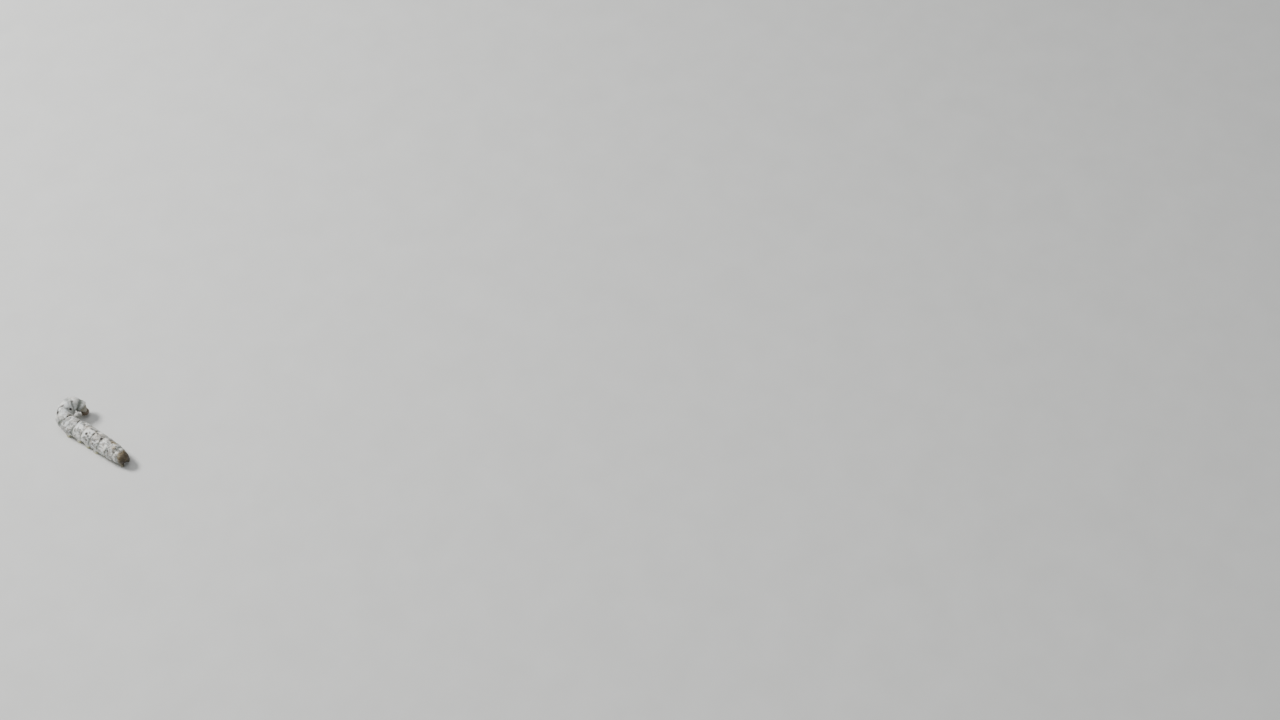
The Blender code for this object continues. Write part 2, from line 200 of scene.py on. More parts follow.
def noise(x, y, rows, columns, seed):
    """Smooth noise from -1 to 1 on a seeded lattice that repeats."""
    lattice = np.random.default_rng(seed).uniform(-1, 1, (rows, columns))
    xi = np.floor(x).astype(int)
    yi = np.floor(y).astype(int)
    tx = ease(x - xi)
    ty = ease(y - yi)
    x0 = xi % rows
    x1 = (xi + 1) % rows
    y0 = yi % columns
    y1 = (yi + 1) % columns
    near = lattice[x0, y0] * (1 - ty) + lattice[x0, y1] * ty
    far = lattice[x1, y0] * (1 - ty) + lattice[x1, y1] * ty
    return near * (1 - tx) + far * tx


def skin_noise(s, a, cell, number, stretch=1.0):
    """Noise over the skin: cells of a length in mm, stretch times it round."""
    cell = cell * MM
    round_cells = max(3, int(round(SKIN_GIRTH / (cell * stretch))))
    y = (a / 360 + 0.5) * round_cells
    return noise(s / cell, y, NOISE_ROWS, round_cells, SEED + number)


# The body's middle line

def sums(values):
    return np.concatenate([[0.0], np.cumsum(values)])


NAMES = [segment[0] for segment in SEGMENTS]
LENGTHS = [segment[1] * MM for segment in SEGMENTS]
BORDERS = sums(LENGTHS)
HEADINGS = TAIL_HEADING + sums([segment[3] for segment in SEGMENTS])
BODY_LENGTH = BORDERS[-1]
WIDTH_KNOTS = [0.0, *(BORDERS[:-1] + BORDERS[1:]) / 2, BODY_LENGTH]
WIDTHS = [TAIL_END_HALF_WIDTH, *(segment[2] * MM for segment in SEGMENTS), NECK_HALF_WIDTH]
RISE_REACH = 0.05 * MM


def held(s):
    return np.clip(s, 0.0, BODY_LENGTH)


def rise(s):
    """Climb of the middle line per unit of its length."""
    low = np.maximum(s - RISE_REACH, 0.0)
    high = np.minimum(s + RISE_REACH, BODY_LENGTH)
    climb = smooth(high, BORDERS, LINE_HEIGHTS) - smooth(low, BORDERS, LINE_HEIGHTS)
    return climb / (high - low)


def trace_line():
    count = int(round(BODY_LENGTH / LINE_STEP)) + 2
    s = np.minimum(np.arange(count) * LINE_STEP, BODY_LENGTH)
    heading = np.radians(smooth(s, BORDERS, HEADINGS))
    run = np.sqrt(1 - rise(s) ** 2) * LINE_STEP
    return TAIL_X + sums(run * np.cos(heading))[:-1], TAIL_Y + sums(run * np.sin(heading))[:-1]


LINE_X, LINE_Y = trace_line()
LINE_AT = np.arange(len(LINE_X)) * LINE_STEP


def body_frame(s):
    """Middle points, forward, left and up directions at lengths s."""
    s = held(np.atleast_1d(np.asarray(s, float)))
    heading = np.radians(smooth(s, BORDERS, HEADINGS))
    climb = rise(s)
    run = np.sqrt(1 - climb**2)
    forward = np.stack([run * np.cos(heading), run * np.sin(heading), climb], -1)
    left = np.stack([-np.sin(heading), np.cos(heading), np.zeros_like(heading)], -1)
    x = np.interp(s, LINE_AT, LINE_X)
    y = np.interp(s, LINE_AT, LINE_Y)
    centre = np.stack([x, y, smooth(s, BORDERS, LINE_HEIGHTS)], -1)
    return centre, forward, left, np.cross(forward, left)


def frame_at(s):
    """Middle point, forward, left and up directions at one length."""
    return [part[0] for part in body_frame(s)]


def place_on(name, share):
    """Length from the tail end to a share of the named segment."""
    i = NAMES.index(name)
    return BORDERS[i] + LENGTHS[i] * share


# The skin's form

FOLDED_SEGMENTS = 9
BORDER_CREASE = 0.05
BORDER_CREASE_WIDTH = 0.22 * MM
BORDER_WAIST = 0.05
BORDER_WAIST_WIDTH = 0.78 * MM
FOLD_WIDTH = 0.2 * MM
FOLD_WAIST_WIDTH = 0.45 * MM
CURL_FOLD = 0.012

# Folds of each abdominal segment: share of its length, depth
ABDOMEN_FOLDS = ((0.27, 0.028), (0.5, 0.012), (0.66, 0.009), (0.82, 0.014))

# The creases bow towards the tail on the middle of the back.
BOW_KNOTS = MM * np.array((0.0, 12.6, 21.6, 26.7, 32.0, 36.4, 38.7, 45.0))
BOWS = MM * np.array((0.0, 0.2, 0.4, 0.85, 0.5, 0.2, 0.0, 0.0))
BOW_MIDDLE = 4
BOW_REACH = 42

# Furrows and, with a minus, ridges across the raised front: place, width, depth
FRONT_FOLDS = (
    (36.4, 0.55, 0.02), (38.6, 0.5, 0.018), (39.45, 0.3, 0.03), (40.1, 0.28, 0.06),
    (40.85, 0.36, -0.045), (42.2, 0.62, 0.11), (43.25, 0.32, -0.035), (43.8, 0.2, 0.03),
)

# Creases of the front that fade out over the back
FLANK_FOLDS = (
    (36.4, 0.26, 0.045), (36.4, 0.75, 0.03), (37.5, 0.3, 0.015), (38.7, 0.26, 0.045),
    (38.7, 0.7, 0.03), (40.9, 0.24, 0.05),
)

# Rim of the plate that covers the tail end from above
PLATE_FOLD = 0.05
PLATE_PLACE = 0.7 * MM
PLATE_BOW = 0.2 * MM
PLATE_WIDTH = 0.17 * MM

# Bulge and grooves along the lower side: angle, width, height
SIDE_ROLLS = ((108, 14, 0.03), (94, 6, -0.022), (121, 5, -0.03))


def crease_depth(s, a):
    """Depth of the creases across the body, as a share of its half width."""
    wobble = 0.13 * MM * skin_noise(s, a, 1.7, 1) + 0.05 * MM * skin_noise(s, a, 0.6, 12)
    at = s + wobble + smooth(held(s), BOW_KNOTS, BOWS) * hump(a - BOW_MIDDLE, BOW_REACH)
    uneven = 0.75 + 0.45 * skin_noise(s, a, 1.3, 13)
    on_top = 0.55 + 0.45 * np.cos(np.radians(a) * 0.75)
    crease = BORDER_CREASE * uneven * (0.6 + 0.4 * on_top)
    depth = CURL_FOLD * uneven * hump(at - place_on("abdomen_1", 0.5), FOLD_WAIST_WIDTH)
    for border in BORDERS[1:FOLDED_SEGMENTS]:
        depth += crease * hump(at - border, BORDER_CREASE_WIDTH)
        depth += BORDER_WAIST * hump(at - border, BORDER_WAIST_WIDTH)
    for name in NAMES[:FOLDED_SEGMENTS]:
        for share, fold in ABDOMEN_FOLDS:
            away = at - place_on(name, share)
            both = uneven * hump(away, FOLD_WIDTH) + hump(away, FOLD_WAIST_WIDTH)
            depth += 0.5 * fold * on_top * both
    for place, width, fold in FRONT_FOLDS:
        depth += fold * (0.8 + 0.2 * uneven) * hump(at - place * MM, width * MM)
    flank = ease((np.abs(a) - 30) / 35) * np.where(a < 0, 0.5, 1.0)
    for place, width, fold in FLANK_FOLDS:
        depth += fold * uneven * flank * hump(at - place * MM, width * MM)
    rim = s - PLATE_PLACE - PLATE_BOW * hump(a, 30)
    return depth + PLATE_FOLD * hump(rim, PLATE_WIDTH) * hump(a, 85)


def half_width(s):
    width = smooth(held(s), WIDTH_KNOTS, WIDTHS)
    closing = 1 - np.clip(1 - s / LENGTHS[0], 0, 1) ** TAIL_ROUNDNESS
    return width * closing ** (1 / TAIL_ROUNDNESS)


def inner_squeeze(s, a):
    """Share by which the curl squeezes the skin, on its inner side only."""
    return np.where(a < 0, smooth(held(s), BORDERS, CURL_SQUEEZE), 0.0)


def pairs(first, second):
    return np.broadcast_arrays(np.atleast_1d(np.asarray(first, float)), np.asarray(second, float))


def skin_point(s, a, out=0.0, detail=True):
    """Points on the skin at lengths s and angles a."""
    s, a = pairs(s, a)
    centre, _, left, up = body_frame(s)
    angle = np.radians(a)
    across = np.sin(angle) * (1 - inner_squeeze(s, wrapped(a)))
    high = np.cos(angle)
    high = np.where(high < 0, high * BELLY_FLATNESS, high)
    bulge = 1.0
    for middle, width, height in SIDE_ROLLS:
        bulge += height * hump(np.abs(wrapped(a)) - middle, width)
    ray = left * (across * bulge)[:, None] + up * (high * bulge)[:, None]
    width = half_width(s)
    if detail:
        width = width * (1 - crease_depth(s, a))
        width = width + skin_relief(s, a, width)
    return centre + ray * width[:, None] + unit(ray) * out


def skin_relief(s, a, width):
    """Small puckers and fine wrinkles, in metres."""
    tight = np.clip(crease_depth(s, a) / BORDER_CREASE, 0, 1.5)
    swell = 0.05 * skin_noise(s, a, 1.5, 14)
    puckers = 0.034 * skin_noise(s, a, 0.6, 2, 1.5)
    wrinkles = 0.017 * skin_noise(s, a, 0.2, 3, 3.4) * (0.6 + tight + 4 * inner_squeeze(s, a))
    gathers = 0.022 * skin_noise(s, a, 0.8, 4, 0.4) * np.clip(tight, 0, 1)
    full = np.clip(width / (2.0 * MM), 0, 1)
    return full * MM * (swell + puckers + wrinkles + gathers)


class Foot:
    """A fleshy foot drawn out of the skin at an oval."""

    def __init__(self, s, side, angle, along, around, lateral, set_back, scale):
        centre, forward, left, _ = frame_at(s)
        self.s = s
        self.angle = side * angle
        self.along = along * MM
        self.around = around * side
        self.scale = scale
        self.flat = unit(forward * (1, 1, 0))
        self.inwards = -left * side
        self.root = skin_point(s, self.angle, detail=False)[0]
        self.sole = centre * (1, 1, 0) - (self.inwards * lateral + self.flat * set_back) * MM

    def reach(self, s, a):
        """Distance from the foot's middle, 1 at the rim of the oval."""
        return np.hypot((s - self.s) / self.along, (a - self.angle) / self.around)

    def shape(self, s, a, points):
        """Moves the skin points inside the oval out along the foot."""
        reach = self.reach(s, a)
        inside = reach < 1.0
        reach = reach[inside]
        turn = np.arctan2(
            (a[inside] - self.angle) / self.around, (s[inside] - self.s) / self.along
        )
        down = np.clip((1 - reach) / (1 - SOLE_SHARE), 0, 1)
        edge = skin_point(
            self.s + self.along * np.cos(turn), self.angle + self.around * np.sin(turn)
        )
        rings = np.sin(down * FOOT_RING_PACE) * ease(down * 4) * ease((0.85 - down) * 6)
        size = smooth(down, FOOT_SHAPE_KNOTS, FOOT_SHAPE) * (1 + FOOT_RING_DEPTH * rings)
        size = size * self.scale * np.clip(reach / SOLE_SHARE, 0, 1)
        ring = self.root + (self.sole - self.root) * down[:, None]
        ring += self.flat * (SOLE_LONG * size * np.cos(turn))[:, None]
        ring += self.inwards * (SOLE_WIDE * size * np.sin(turn))[:, None]
        ring[:, 2] -= FOOT_ROOT_SLOPE * np.clip(1 - 2 * down, 0, 1) * np.sin(turn)
        part = ease(down / 0.36)[:, None]
        points[inside] = edge * (1 - part) + ring * part
        footness = np.zeros(len(points))
        footness[inside] = ease(down * 1.6)
        return footness


def make_feet(side):
    prolegs = [Foot(place_on(f"abdomen_{n}", 0.5), side, *PROLEG) for n in PROLEG_SEGMENTS]
    return [*prolegs, Foot(place_on("abdomen_10", 0.5) + CLASPER_PLACE, side, *CLASPER)]


FEET = make_feet(1) + make_feet(-1)


# Dark spots on the skin: place, angle, half length, half width, darkness
SPOTS = (
    (34.9, 34, 0.5, 0.55, 1), (38.5, -62, 0.42, 0.6, 1), (19.5, 22, 0.54, 0.5, 1),
    (18.25, 30, 0.5, 0.48, 0.8), (18.5, 8, 0.3, 0.32, 0.45), (19.5, -24, 0.42, 0.36, 0.75),
    (17.3, -26, 0.3, 0.36, 0.55), (15.9, -20, 0.4, 0.46, 0.65), (16.9, 0, 0.32, 0.42, 0.5),
    (14.5, 26, 0.42, 0.42, 0.4), (12.85, -4, 0.46, 0.5, 0.9), (13.5, -26, 0.4, 0.42, 0.6),
    (10.1, 24, 0.36, 0.46, 0.5), (10.7, 44, 0.7, 0.22, 0.6), (14.7, 52, 0.36, 0.36, 0.75),
    (18.3, 58, 0.4, 0.36, 0.85), (7.5, 40, 0.4, 0.36, 0.75), (7.7, 14, 0.38, 0.42, 0.6),
    (5.3, 24, 0.42, 0.42, 0.6), (40.3, -16, 0.3, 0.42, 0.7), (22.9, -20, 0.4, 0.36, 0.55),
    (9.5, -8, 0.28, 0.34, 0.4), (24.6, 46, 0.4, 0.36, 0.45), (28.9, 34, 0.42, 0.42, 0.4),
    (33.4, 6, 0.34, 0.42, 0.35), (30.3, -20, 0.42, 0.42, 0.4),
)

# Crescents on the front of the curl: courses of places and angles, half width,
# darkness
STROKES = (
    (((35.5, 38), (36.1, 32), (37.1, 18), (37.8, 4), (38, -4)), 0.28, 0.85),
    (((35, 17), (35.8, 8), (36.7, -1), (37.2, -6)), 0.2, 0.65),
    (((37.7, -20), (37.9, -30), (38.3, -44)), 0.22, 0.5),
    (((31.35, 22), (31.4, 8), (31.6, -6), (32, -24), (32.3, -40)), 0.26, 0.85),
    (((25.75, 10), (25.8, -4), (26.2, -24), (26.7, -48)), 0.22, 0.8),
)

# Painted shade: soft grey darkening low in the folds, on the inner side of the curl and round the
# collar, where shade falls: place, angle, half length, half width, strength
PAINTED_SHADES = (
    (32, 58, 0.5, 2.3, 0.85), (26.5, 52, 0.6, 2.4, 0.85), (12.5, 54, 0.34, 2.2, 0.6),
    (17, 58, 0.34, 1.8, 0.55), (8.4, 52, 0.3, 1.8, 0.5), (39.3, 30, 0.55, 2.6, 0.5),
    (37.4, -44, 0.9, 1.5, 0.5), (21.4, 46, 0.28, 2.2, 0.5), (42.2, -10, 0.65, 7, 0.9),
    (24.5, -28, 0.5, 1.2, 0.5), (5, -34, 0.6, 1.8, 0.7), (28.2, 22, 1.1, 1.1, 0.3),
    (40.1, -50, 0.4, 3, 0.85), (44, -50, 0.8, 3, 0.8), (36, -60, 0.9, 1.6, 0.6),
    (43.6, -80, 2.4, 2.4, 0.75), (45.4, 0, 0.9, 3.5, 0.6), (39, -95, 2.6, 1.8, 0.6),
    (42.4, -118, 2.2, 2.2, 0.85), (39.2, -132, 2.6, 2.2, 0.8),
)

# Brown tail end, and a near-black end that is partly soot and partly painted shade: where each
# tone ends, and how softly
OCHRE_END = 4.0 * MM
SOOT_AND_SHADE_END = 3.4 * MM
TAIL_BLUR = 2.2 * MM

# The rear marbling thins out on the raised front from here.
THINNING_FROM = 32.0 * MM
THINNING_OVER = 2.5 * MM

# Warm area in the middle of the back, and a brown patch on the right side
WARM_PLACE = 19.0 * MM
PATCH_PLACE = 8.3 * MM
PATCH_ANGLE = -38


def oval_tones(table, s, a, width, edge, rag):
    """Tone of a table's ragged ovals, the strongest where they overlap."""
    tone = np.zeros_like(s)
    for place, angle, along, around, strength in table:
        dx = (s - place * MM) / (along * MM)
        dy = np.radians(a - angle) * width / (around * MM)
        tone = np.maximum(tone, strength * ease(edge - np.hypot(dx, dy) + rag))
    return tone


def stroke_reach(s, a, width, course):
    """Distance in metres from a course drawn on the skin."""
    nearest = np.full_like(s, 1.0)
    for (place, angle), (next_place, next_angle) in zip(course, course[1:]):
        dx = (next_place - place) * MM
        dy = math.radians(next_angle - angle) * width
        px = s - place * MM
        py = np.radians(a - angle) * width
        t = np.clip((px * dx + py * dy) / (dx * dx + dy * dy), 0, 1)
        nearest = np.minimum(nearest, np.hypot(px - t * dx, py - t * dy))
    return nearest


def skin_marks(s, a):
    """Tones of the skin, each from 0 to 1, in two layers of three: dark marks, brown and marbling;
    then painted shade, a warm area, and a near-black tail end that is partly soot and partly
    painted shade.
    """
    width = np.maximum(half_width(s), 0.3 * MM)
    side = np.abs(a)
    rag = 0.6 * skin_noise(s, a, 0.34, 5) + 0.4 * skin_noise(s, a, 0.2, 6)
    dark = oval_tones(SPOTS, s, a, width, 1.65, 0.4 * rag)
    broken = ease(1.0 + 1.6 * skin_noise(s, a, 0.5, 15))
    for course, reach, strength in STROKES:
        away = stroke_reach(s, a, width, course) / (reach * MM)
        dark = np.maximum(dark, strength * broken * ease(1.45 - away + 0.5 * rag))
    # Painted shade: grey darkening in the folds, on the inner side of the curl and round the
    # collar
    low = oval_tones(PAINTED_SHADES, s, a, width, 1.5, 0.25 * rag)

    drift = 0.45 * MM * skin_noise(s, a, 0.8, 20)
    turn = np.degrees(0.45 * MM * skin_noise(s, a, 0.8, 21) / width)
    blots = skin_noise(s + drift, a + turn, 0.6, 7)
    blots += 0.75 * skin_noise(s - turn * MM / 12, a + drift / MM * 14, 0.34, 8)
    patches = skin_noise(s + 2 * drift, a - 2 * turn, 2.3, 9)
    middle = skin_noise(s - drift, a + turn, 1.05, 22)
    reach = 0.85 + 0.15 * hump(side - 40, 40) - 0.45 * ease((side - 120) / 30)
    reach *= 1 - 0.5 * ease((s - THINNING_FROM) / THINNING_OVER)
    mottle = ease((blots + 0.6 * patches + 0.02) * 1.5)
    mottle = np.maximum(mottle, 0.55 * ease((patches - 0.05) * 2.2))
    mottle = np.maximum(mottle, 0.9 * ease((middle + 0.45 * blots - 0.06) * 2.2)) * reach

    warm = ease(0.35 + 0.9 * skin_noise(s, a, 2.7, 10))
    warm *= 0.25 + 0.75 * hump(s - WARM_PLACE, 6.5 * MM) * hump(a + 18, 60)
    rear = s - MM * (0.5 * rag + 0.6 * np.cos(np.radians(a + 75)) - 0.6 * patches)
    ochre = 0.92 * ease((OCHRE_END - rear) / TAIL_BLUR)
    horn = np.hypot(s - place_on("abdomen_8", HORN_PLACE), np.radians(a) * width)
    patch = np.hypot((s - PATCH_PLACE) * 0.8, np.radians(a - PATCH_ANGLE) * width)
    neck = BODY_LENGTH - s
    # On the horn and on the right-side patch the brown is the skin's own; the brown on the neck,
    # next to the head, is painted shade
    for away, end, blur, ragged, strength in (
        (horn, 1.25, 0.9, 0.35, 0.35), (patch, 1.4, 0.8, 0.35, 0.7), (neck, 0.4, 0.5, 0.0, 0.5)
    ):
        spread = (end + ragged * rag - away / MM) / blur
        ochre = np.maximum(ochre, strength * ease(spread))
    # Near-black tail end, partly soot and partly painted shade, darker low on the sides than on
    # the back
    soot_and_shade = 0.97 * ease((SOOT_AND_SHADE_END - rear) / TAIL_BLUR) * (0.72 + 0.28 * ease((side - 15) / 70))
    return (dark, ochre, mottle), (low, warm, soot_and_shade)


# Mesh helpers

def select_only(*objects):
    for other in bpy.context.selected_objects:
        other.select_set(False)
    for obj in objects:
        obj.select_set(True)
    if objects:
        bpy.context.view_layer.objects.active = objects[0]


def close_and_face_out(obj, merge=1e-7):
    select_only(obj)
    bpy.ops.object.mode_set(mode="EDIT")
    bpy.ops.mesh.select_all(action="SELECT")
    bpy.ops.mesh.remove_doubles(threshold=merge)
    bpy.ops.mesh.normals_make_consistent(inside=False)
    bpy.ops.object.mode_set(mode="OBJECT")
    shade(obj)


def shade(obj, degrees=None):
    select_only(obj)
    if degrees is None:
        bpy.ops.object.shade_smooth()
    else:
        bpy.ops.object.shade_smooth_by_angle(angle=math.radians(degrees))


def apply_modifier(obj, kind, **values):
    select_only(obj)
    modifier = obj.modifiers.new(kind.title(), kind)
    for key, value in values.items():
        setattr(modifier, key, value)
    bpy.ops.object.modifier_apply(modifier=modifier.name)


def named(obj, name):
    obj.name = name
    obj.data.name = name
    return obj


def link_new(name, data):
    obj = bpy.data.objects.new(name, data)
    bpy.context.scene.collection.objects.link(obj)
    return obj


def put_points(obj, points):
    obj.data.vertices.foreach_set("co", np.asarray(points, dtype=np.float32).ravel())
    obj.data.update()


def closed_tube(name, rings, layers=None):
    """Wraps a grid round a row of closed rings, with layers of three tones."""
    count, sides, _ = rings.shape
    bpy.ops.mesh.primitive_grid_add(x_subdivisions=sides, y_subdivisions=count - 1, size=1.0)
    tube = named(bpy.context.object, name)
    put_points(tube, np.concatenate([rings, rings[:, :1]], axis=1))
    for layer_name, tones in (layers or {}).items():
        values = np.stack([*tones, np.ones_like(tones[0])], -1).reshape(count, sides, 4)
        values = np.concatenate([values, values[:, :1]], axis=1)
        layer = tube.data.attributes.new(layer_name, "FLOAT_COLOR", "POINT")
        layer.data.foreach_set("color", values.astype(np.float32).ravel())
    close_and_face_out(tube)
    return tube


def every_pair(rows, columns):
    """Every row value with every column value, as two flat arrays."""
    return (part.ravel() for part in np.meshgrid(rows, columns, indexing="ij"))


def join_pieces(pieces, name):
    select_only(*pieces)
    bpy.ops.object.join()
    return named(pieces[0], name)


def settle(obj):
    """Applies the object's place to its mesh."""
    select_only(obj)
    bpy.ops.object.transform_apply(location=True, rotation=True, scale=True)
    return obj


def place_by(obj, matrix):
    settle(obj)
    obj.matrix_world = matrix
    return settle(obj)


def matrix_of(x, y, z, origin):
    matrix = Matrix((x, y, z)).transposed().to_4x4()
    matrix.translation = Vector(origin)
    return matrix


def finish_piece(obj, material, slot, *nodes):
    obj.data.materials.clear()
    obj.data.materials.append(material)
    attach(obj, ROOT)
    if nodes:
        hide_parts(*nodes)
    return obj


# Materials

class Shader:
    """A small helper that wires one material's nodes."""

    def __init__(self, name):
        self.material = bpy.data.materials.new(name)
        self.material.use_nodes = True
        self.tree = self.material.node_tree
        self.surface = self.tree.nodes["Principled BSDF"]
        self.place = self.add("TexCoord").outputs["Object"]

    def put(self, socket, value):
        if isinstance(value, bpy.types.NodeSocket):
            self.tree.links.new(value, socket)
        else:
            socket.default_value = value

    def add(self, kind, **inputs):
        node = self.tree.nodes.new("ShaderNode" + kind)
        for key, value in inputs.items():
            self.put(node.inputs[key], value)
        return node

    def surfaced(self, **values):
        """Sets the surface's inputs and returns the material."""
        for key, value in values.items():
            self.put(self.surface.inputs[key.replace("_", " ")], value)
        return self.material

    def noise(self, scale, detail=3.0, rough=0.55, distortion=0.0):
        return self.add(
            "TexNoise", Scale=scale, Detail=detail, Roughness=rough, Distortion=distortion,
            Vector=self.place,
        ).outputs["Fac"]

    def cells(self, scale):
        return self.add("TexVoronoi", Scale=scale, Vector=self.place).outputs["Distance"]

    def channels(self, name):
        """The three tones of a colour layer on the mesh."""
        node = self.add("Attribute")
        node.attribute_name = name
        return self.add("SeparateColor", Color=node.outputs["Color"]).outputs

    def ramp(self, value, *stops):
        node = self.add("ValToRGB", Fac=value)
        elements = node.color_ramp.elements
        while len(elements) < len(stops):
            elements.new(0.5)
        for element, (position, grey) in zip(elements, stops):
            element.position = position
            element.color = (grey, grey, grey, 1.0)
        return node.outputs["Color"]

    def mix(self, factor, first, second):
        node = self.add("Mix")
        node.data_type = "RGBA"
        sockets = [i for i in node.inputs if i.enabled]
        for socket, value in zip(sockets, (factor, first, second)):
            self.put(socket, (*value, 1.0) if isinstance(value, tuple) else value)
        return next(o for o in node.outputs if o.enabled)

    def times(self, first, second):
        node = self.add("Math")
        node.operation = "MULTIPLY"
        self.put(node.inputs[0], first)
        self.put(node.inputs[1], second)
        return node.outputs[0]

    def over(self, colour, tone, share, tint):
        """Lays a share of a tint over the colour where the tone is."""
        return self.mix(self.times(tone, share), colour, tint)

    def two_tone(self, noise, low, high, first, second):
        """First colour where the noise is low, second where it is high."""
        return self.mix(self.ramp(noise, (low, 0.0), (high, 1.0)), first, second)

    def gloss(self, scale, low, high):
        return self.ramp(self.noise(scale), (0.3, low), (0.7, high))

    def relief(self, *layers):
        """Bumps laid over each other: height, distance in mm, strength."""
        under = {}
        for height, distance, strength in layers:
            node = self.add(
                "Bump", Height=height, Distance=distance * MM, Strength=strength, **under
            )
            under = {"Normal": node.outputs["Normal"]}
        return under["Normal"]


WHITE_COOL = (0.72, 0.745, 0.73)
WHITE_WARM = (0.83, 0.82, 0.77)
WARM_TAN = (0.72, 0.6, 0.47)
BELLY_GREEN = (0.6, 0.62, 0.48)
MARBLE_GREYS = ((0.085, 0.09, 0.092), (0.17, 0.14, 0.1))
VEIN_GREY = (0.24, 0.24, 0.22)
FLECK_GREY = (0.2, 0.19, 0.17)
# Painted shade: the grey laid where shade falls in the folds and under the curl
PAINTED_SHADE_GREY = (0.1, 0.12, 0.11)
FOOT_GREEN = (0.62, 0.6, 0.37)
# Painted shade in the creases
CREASE_SHADE_GREY = (0.14, 0.15, 0.12)
TAIL_BROWNS = ((0.12, 0.085, 0.035), (0.31, 0.235, 0.11))
# Near-black of the tail end, partly soot and partly painted shade
TAIL_SOOT_AND_SHADE_TONES = ((0.009, 0.007, 0.005), (0.05, 0.032, 0.018))
SPOT_BLACK = (0.022, 0.017, 0.014)


def skin_material():
    """White-grey skin: soft grey marbling, warmer and cooler areas, dark marks, and painted shade
    in the folds, the creases and at the tail end.
    """
    shader = Shader("silkworm_skin")
    dark, ochre, mottle = shader.channels("body_marks")
    low, warm, soot_and_shade = shader.channels("tints_and_painted_shade")
    fold, foot, belly = shader.channels("crease_shade_and_tones")
    colour = shader.two_tone(shader.noise(300), 0.36, 0.66, WHITE_COOL, WHITE_WARM)
    colour = shader.over(colour, warm, 0.5, WARM_TAN)
    colour = shader.over(colour, belly, 0.55, BELLY_GREEN)
    grey = shader.two_tone(shader.noise(750, 2.0), 0.42, 0.6, *MARBLE_GREYS)
    edges = shader.ramp(shader.noise(2100, 4.0, 0.65), (0.34, 0.62), (0.58, 1.0))
    colour = shader.mix(shader.times(shader.times(mottle, 0.94), edges), colour, grey)
    lines = shader.noise(1250, 5.0, 0.6, 1.4)
    veins = shader.ramp(lines, (0.47, 0.0), (0.5, 0.5), (0.53, 0.0))
    flecks = shader.ramp(shader.noise(5200, 2.0, 0.6), (0.58, 0.0), (0.7, 0.6))
    # low lays painted shade in the folds and under the curl, and fold lays painted shade in the
    # creases
    for tone, share, tint in (
        (veins, 0.5, VEIN_GREY), (flecks, 0.75, FLECK_GREY), (low, 0.82, PAINTED_SHADE_GREY),
        (foot, 0.85, FOOT_GREEN), (fold, 0.6, CREASE_SHADE_GREY),
    ):
        colour = shader.over(colour, tone, share, tint)
    # The brown is the skin's own on the tail, horn and patch, and painted shade at the neck
    brown = shader.two_tone(shader.noise(1500, 4.0), 0.35, 0.65, *TAIL_BROWNS)
    # The near-black tail end is partly soot and partly painted shade
    soot_and_shade_tint = shader.two_tone(shader.noise(1900, 4.0), 0.4, 0.62, *TAIL_SOOT_AND_SHADE_TONES)
    for tone, tint in ((ochre, brown), (soot_and_shade, soot_and_shade_tint), (dark, SPOT_BLACK)):
        colour = shader.mix(tone, colour, tint)
    normal = shader.relief(
        (shader.cells(6500), 0.018, 0.6), (shader.noise(2600, 5.0, 0.7), 0.06, 0.55)
    )
    return shader.surfaced(
        Base_Color=colour, Roughness=shader.gloss(1700, 0.42, 0.62), Normal=normal, IOR=1.42,
        Subsurface_Weight=0.18, Subsurface_Scale=0.0009, Subsurface_Radius=(1.0, 0.8, 0.6),
    )


def shell_material(name, light, deep, spread, roughness, speckle=1400, coat=0.25):
    """Hard, glossy shell with a mottled tone and a fine grain."""
    shader = Shader(name)
    colour = shader.two_tone(shader.noise(spread, 4.0, 0.6), 0.36, 0.64, deep, light)
    dots = shader.ramp(shader.noise(speckle * 3, 2.0), (0.56, 0.0), (0.68, 0.6))
    colour = shader.mix(dots, colour, tuple(0.4 * part for part in deep))
    rough = shader.gloss(speckle, roughness - 0.07, roughness + 0.1)
    normal = shader.relief(
        (shader.cells(speckle * 4), 0.008, 0.5), (shader.noise(speckle, 4.0), 0.03, 0.35)
    )
    return shader.surfaced(
        Base_Color=colour, Roughness=rough, Normal=normal, Coat_Weight=coat,
        Coat_Roughness=0.2, IOR=1.5,
    )


def head_material():
    shader = Shader("head_shell")
    dark, pale, _ = shader.channels("head_marks")
    tone = shader.noise(1100, 5.0, 0.6)
    colour = shader.two_tone(tone, 0.36, 0.64, (0.07, 0.049, 0.03), (0.19, 0.138, 0.085))
    spots = shader.ramp(shader.cells(3300), (0.18, 0.85), (0.34, 0.0))
    colour = shader.mix(spots, colour, (0.055, 0.028, 0.014))
    colour = shader.over(colour, pale, 0.7, (0.36, 0.28, 0.18))
    colour = shader.mix(dark, colour, (0.018, 0.01, 0.007))
    normal = shader.relief(
        (shader.cells(7000), 0.01, 0.5), (shader.noise(1500, 4.0), 0.035, 0.4)
    )
    return shader.surfaced(
        Base_Color=colour, Roughness=shader.gloss(1900, 0.3, 0.46), Normal=normal,
        Coat_Weight=0.3, Coat_Roughness=0.22, IOR=1.5,
    )


def even_material(name, noise_scale, grain_scale, first, second, **values):
    """Plain material in two close tones, with a very fine grain."""
    shader = Shader(name)
    colour = shader.two_tone(shader.noise(noise_scale, 2.0), 0.35, 0.65, first, second)
    normal = shader.relief((shader.noise(grain_scale, 2.0), 0.004, 0.2))
    return shader.surfaced(Base_Color=colour, Normal=normal, IOR=1.5, **values)


# Skin

ROUND_COARSE = 2.9
ROUND_FINE = 1.25
ROUND_FINE_FROM = 108.0
ROUND_FINE_TO = 164.0
TAIL_ROWS = 40
BODY_ROWS = 480


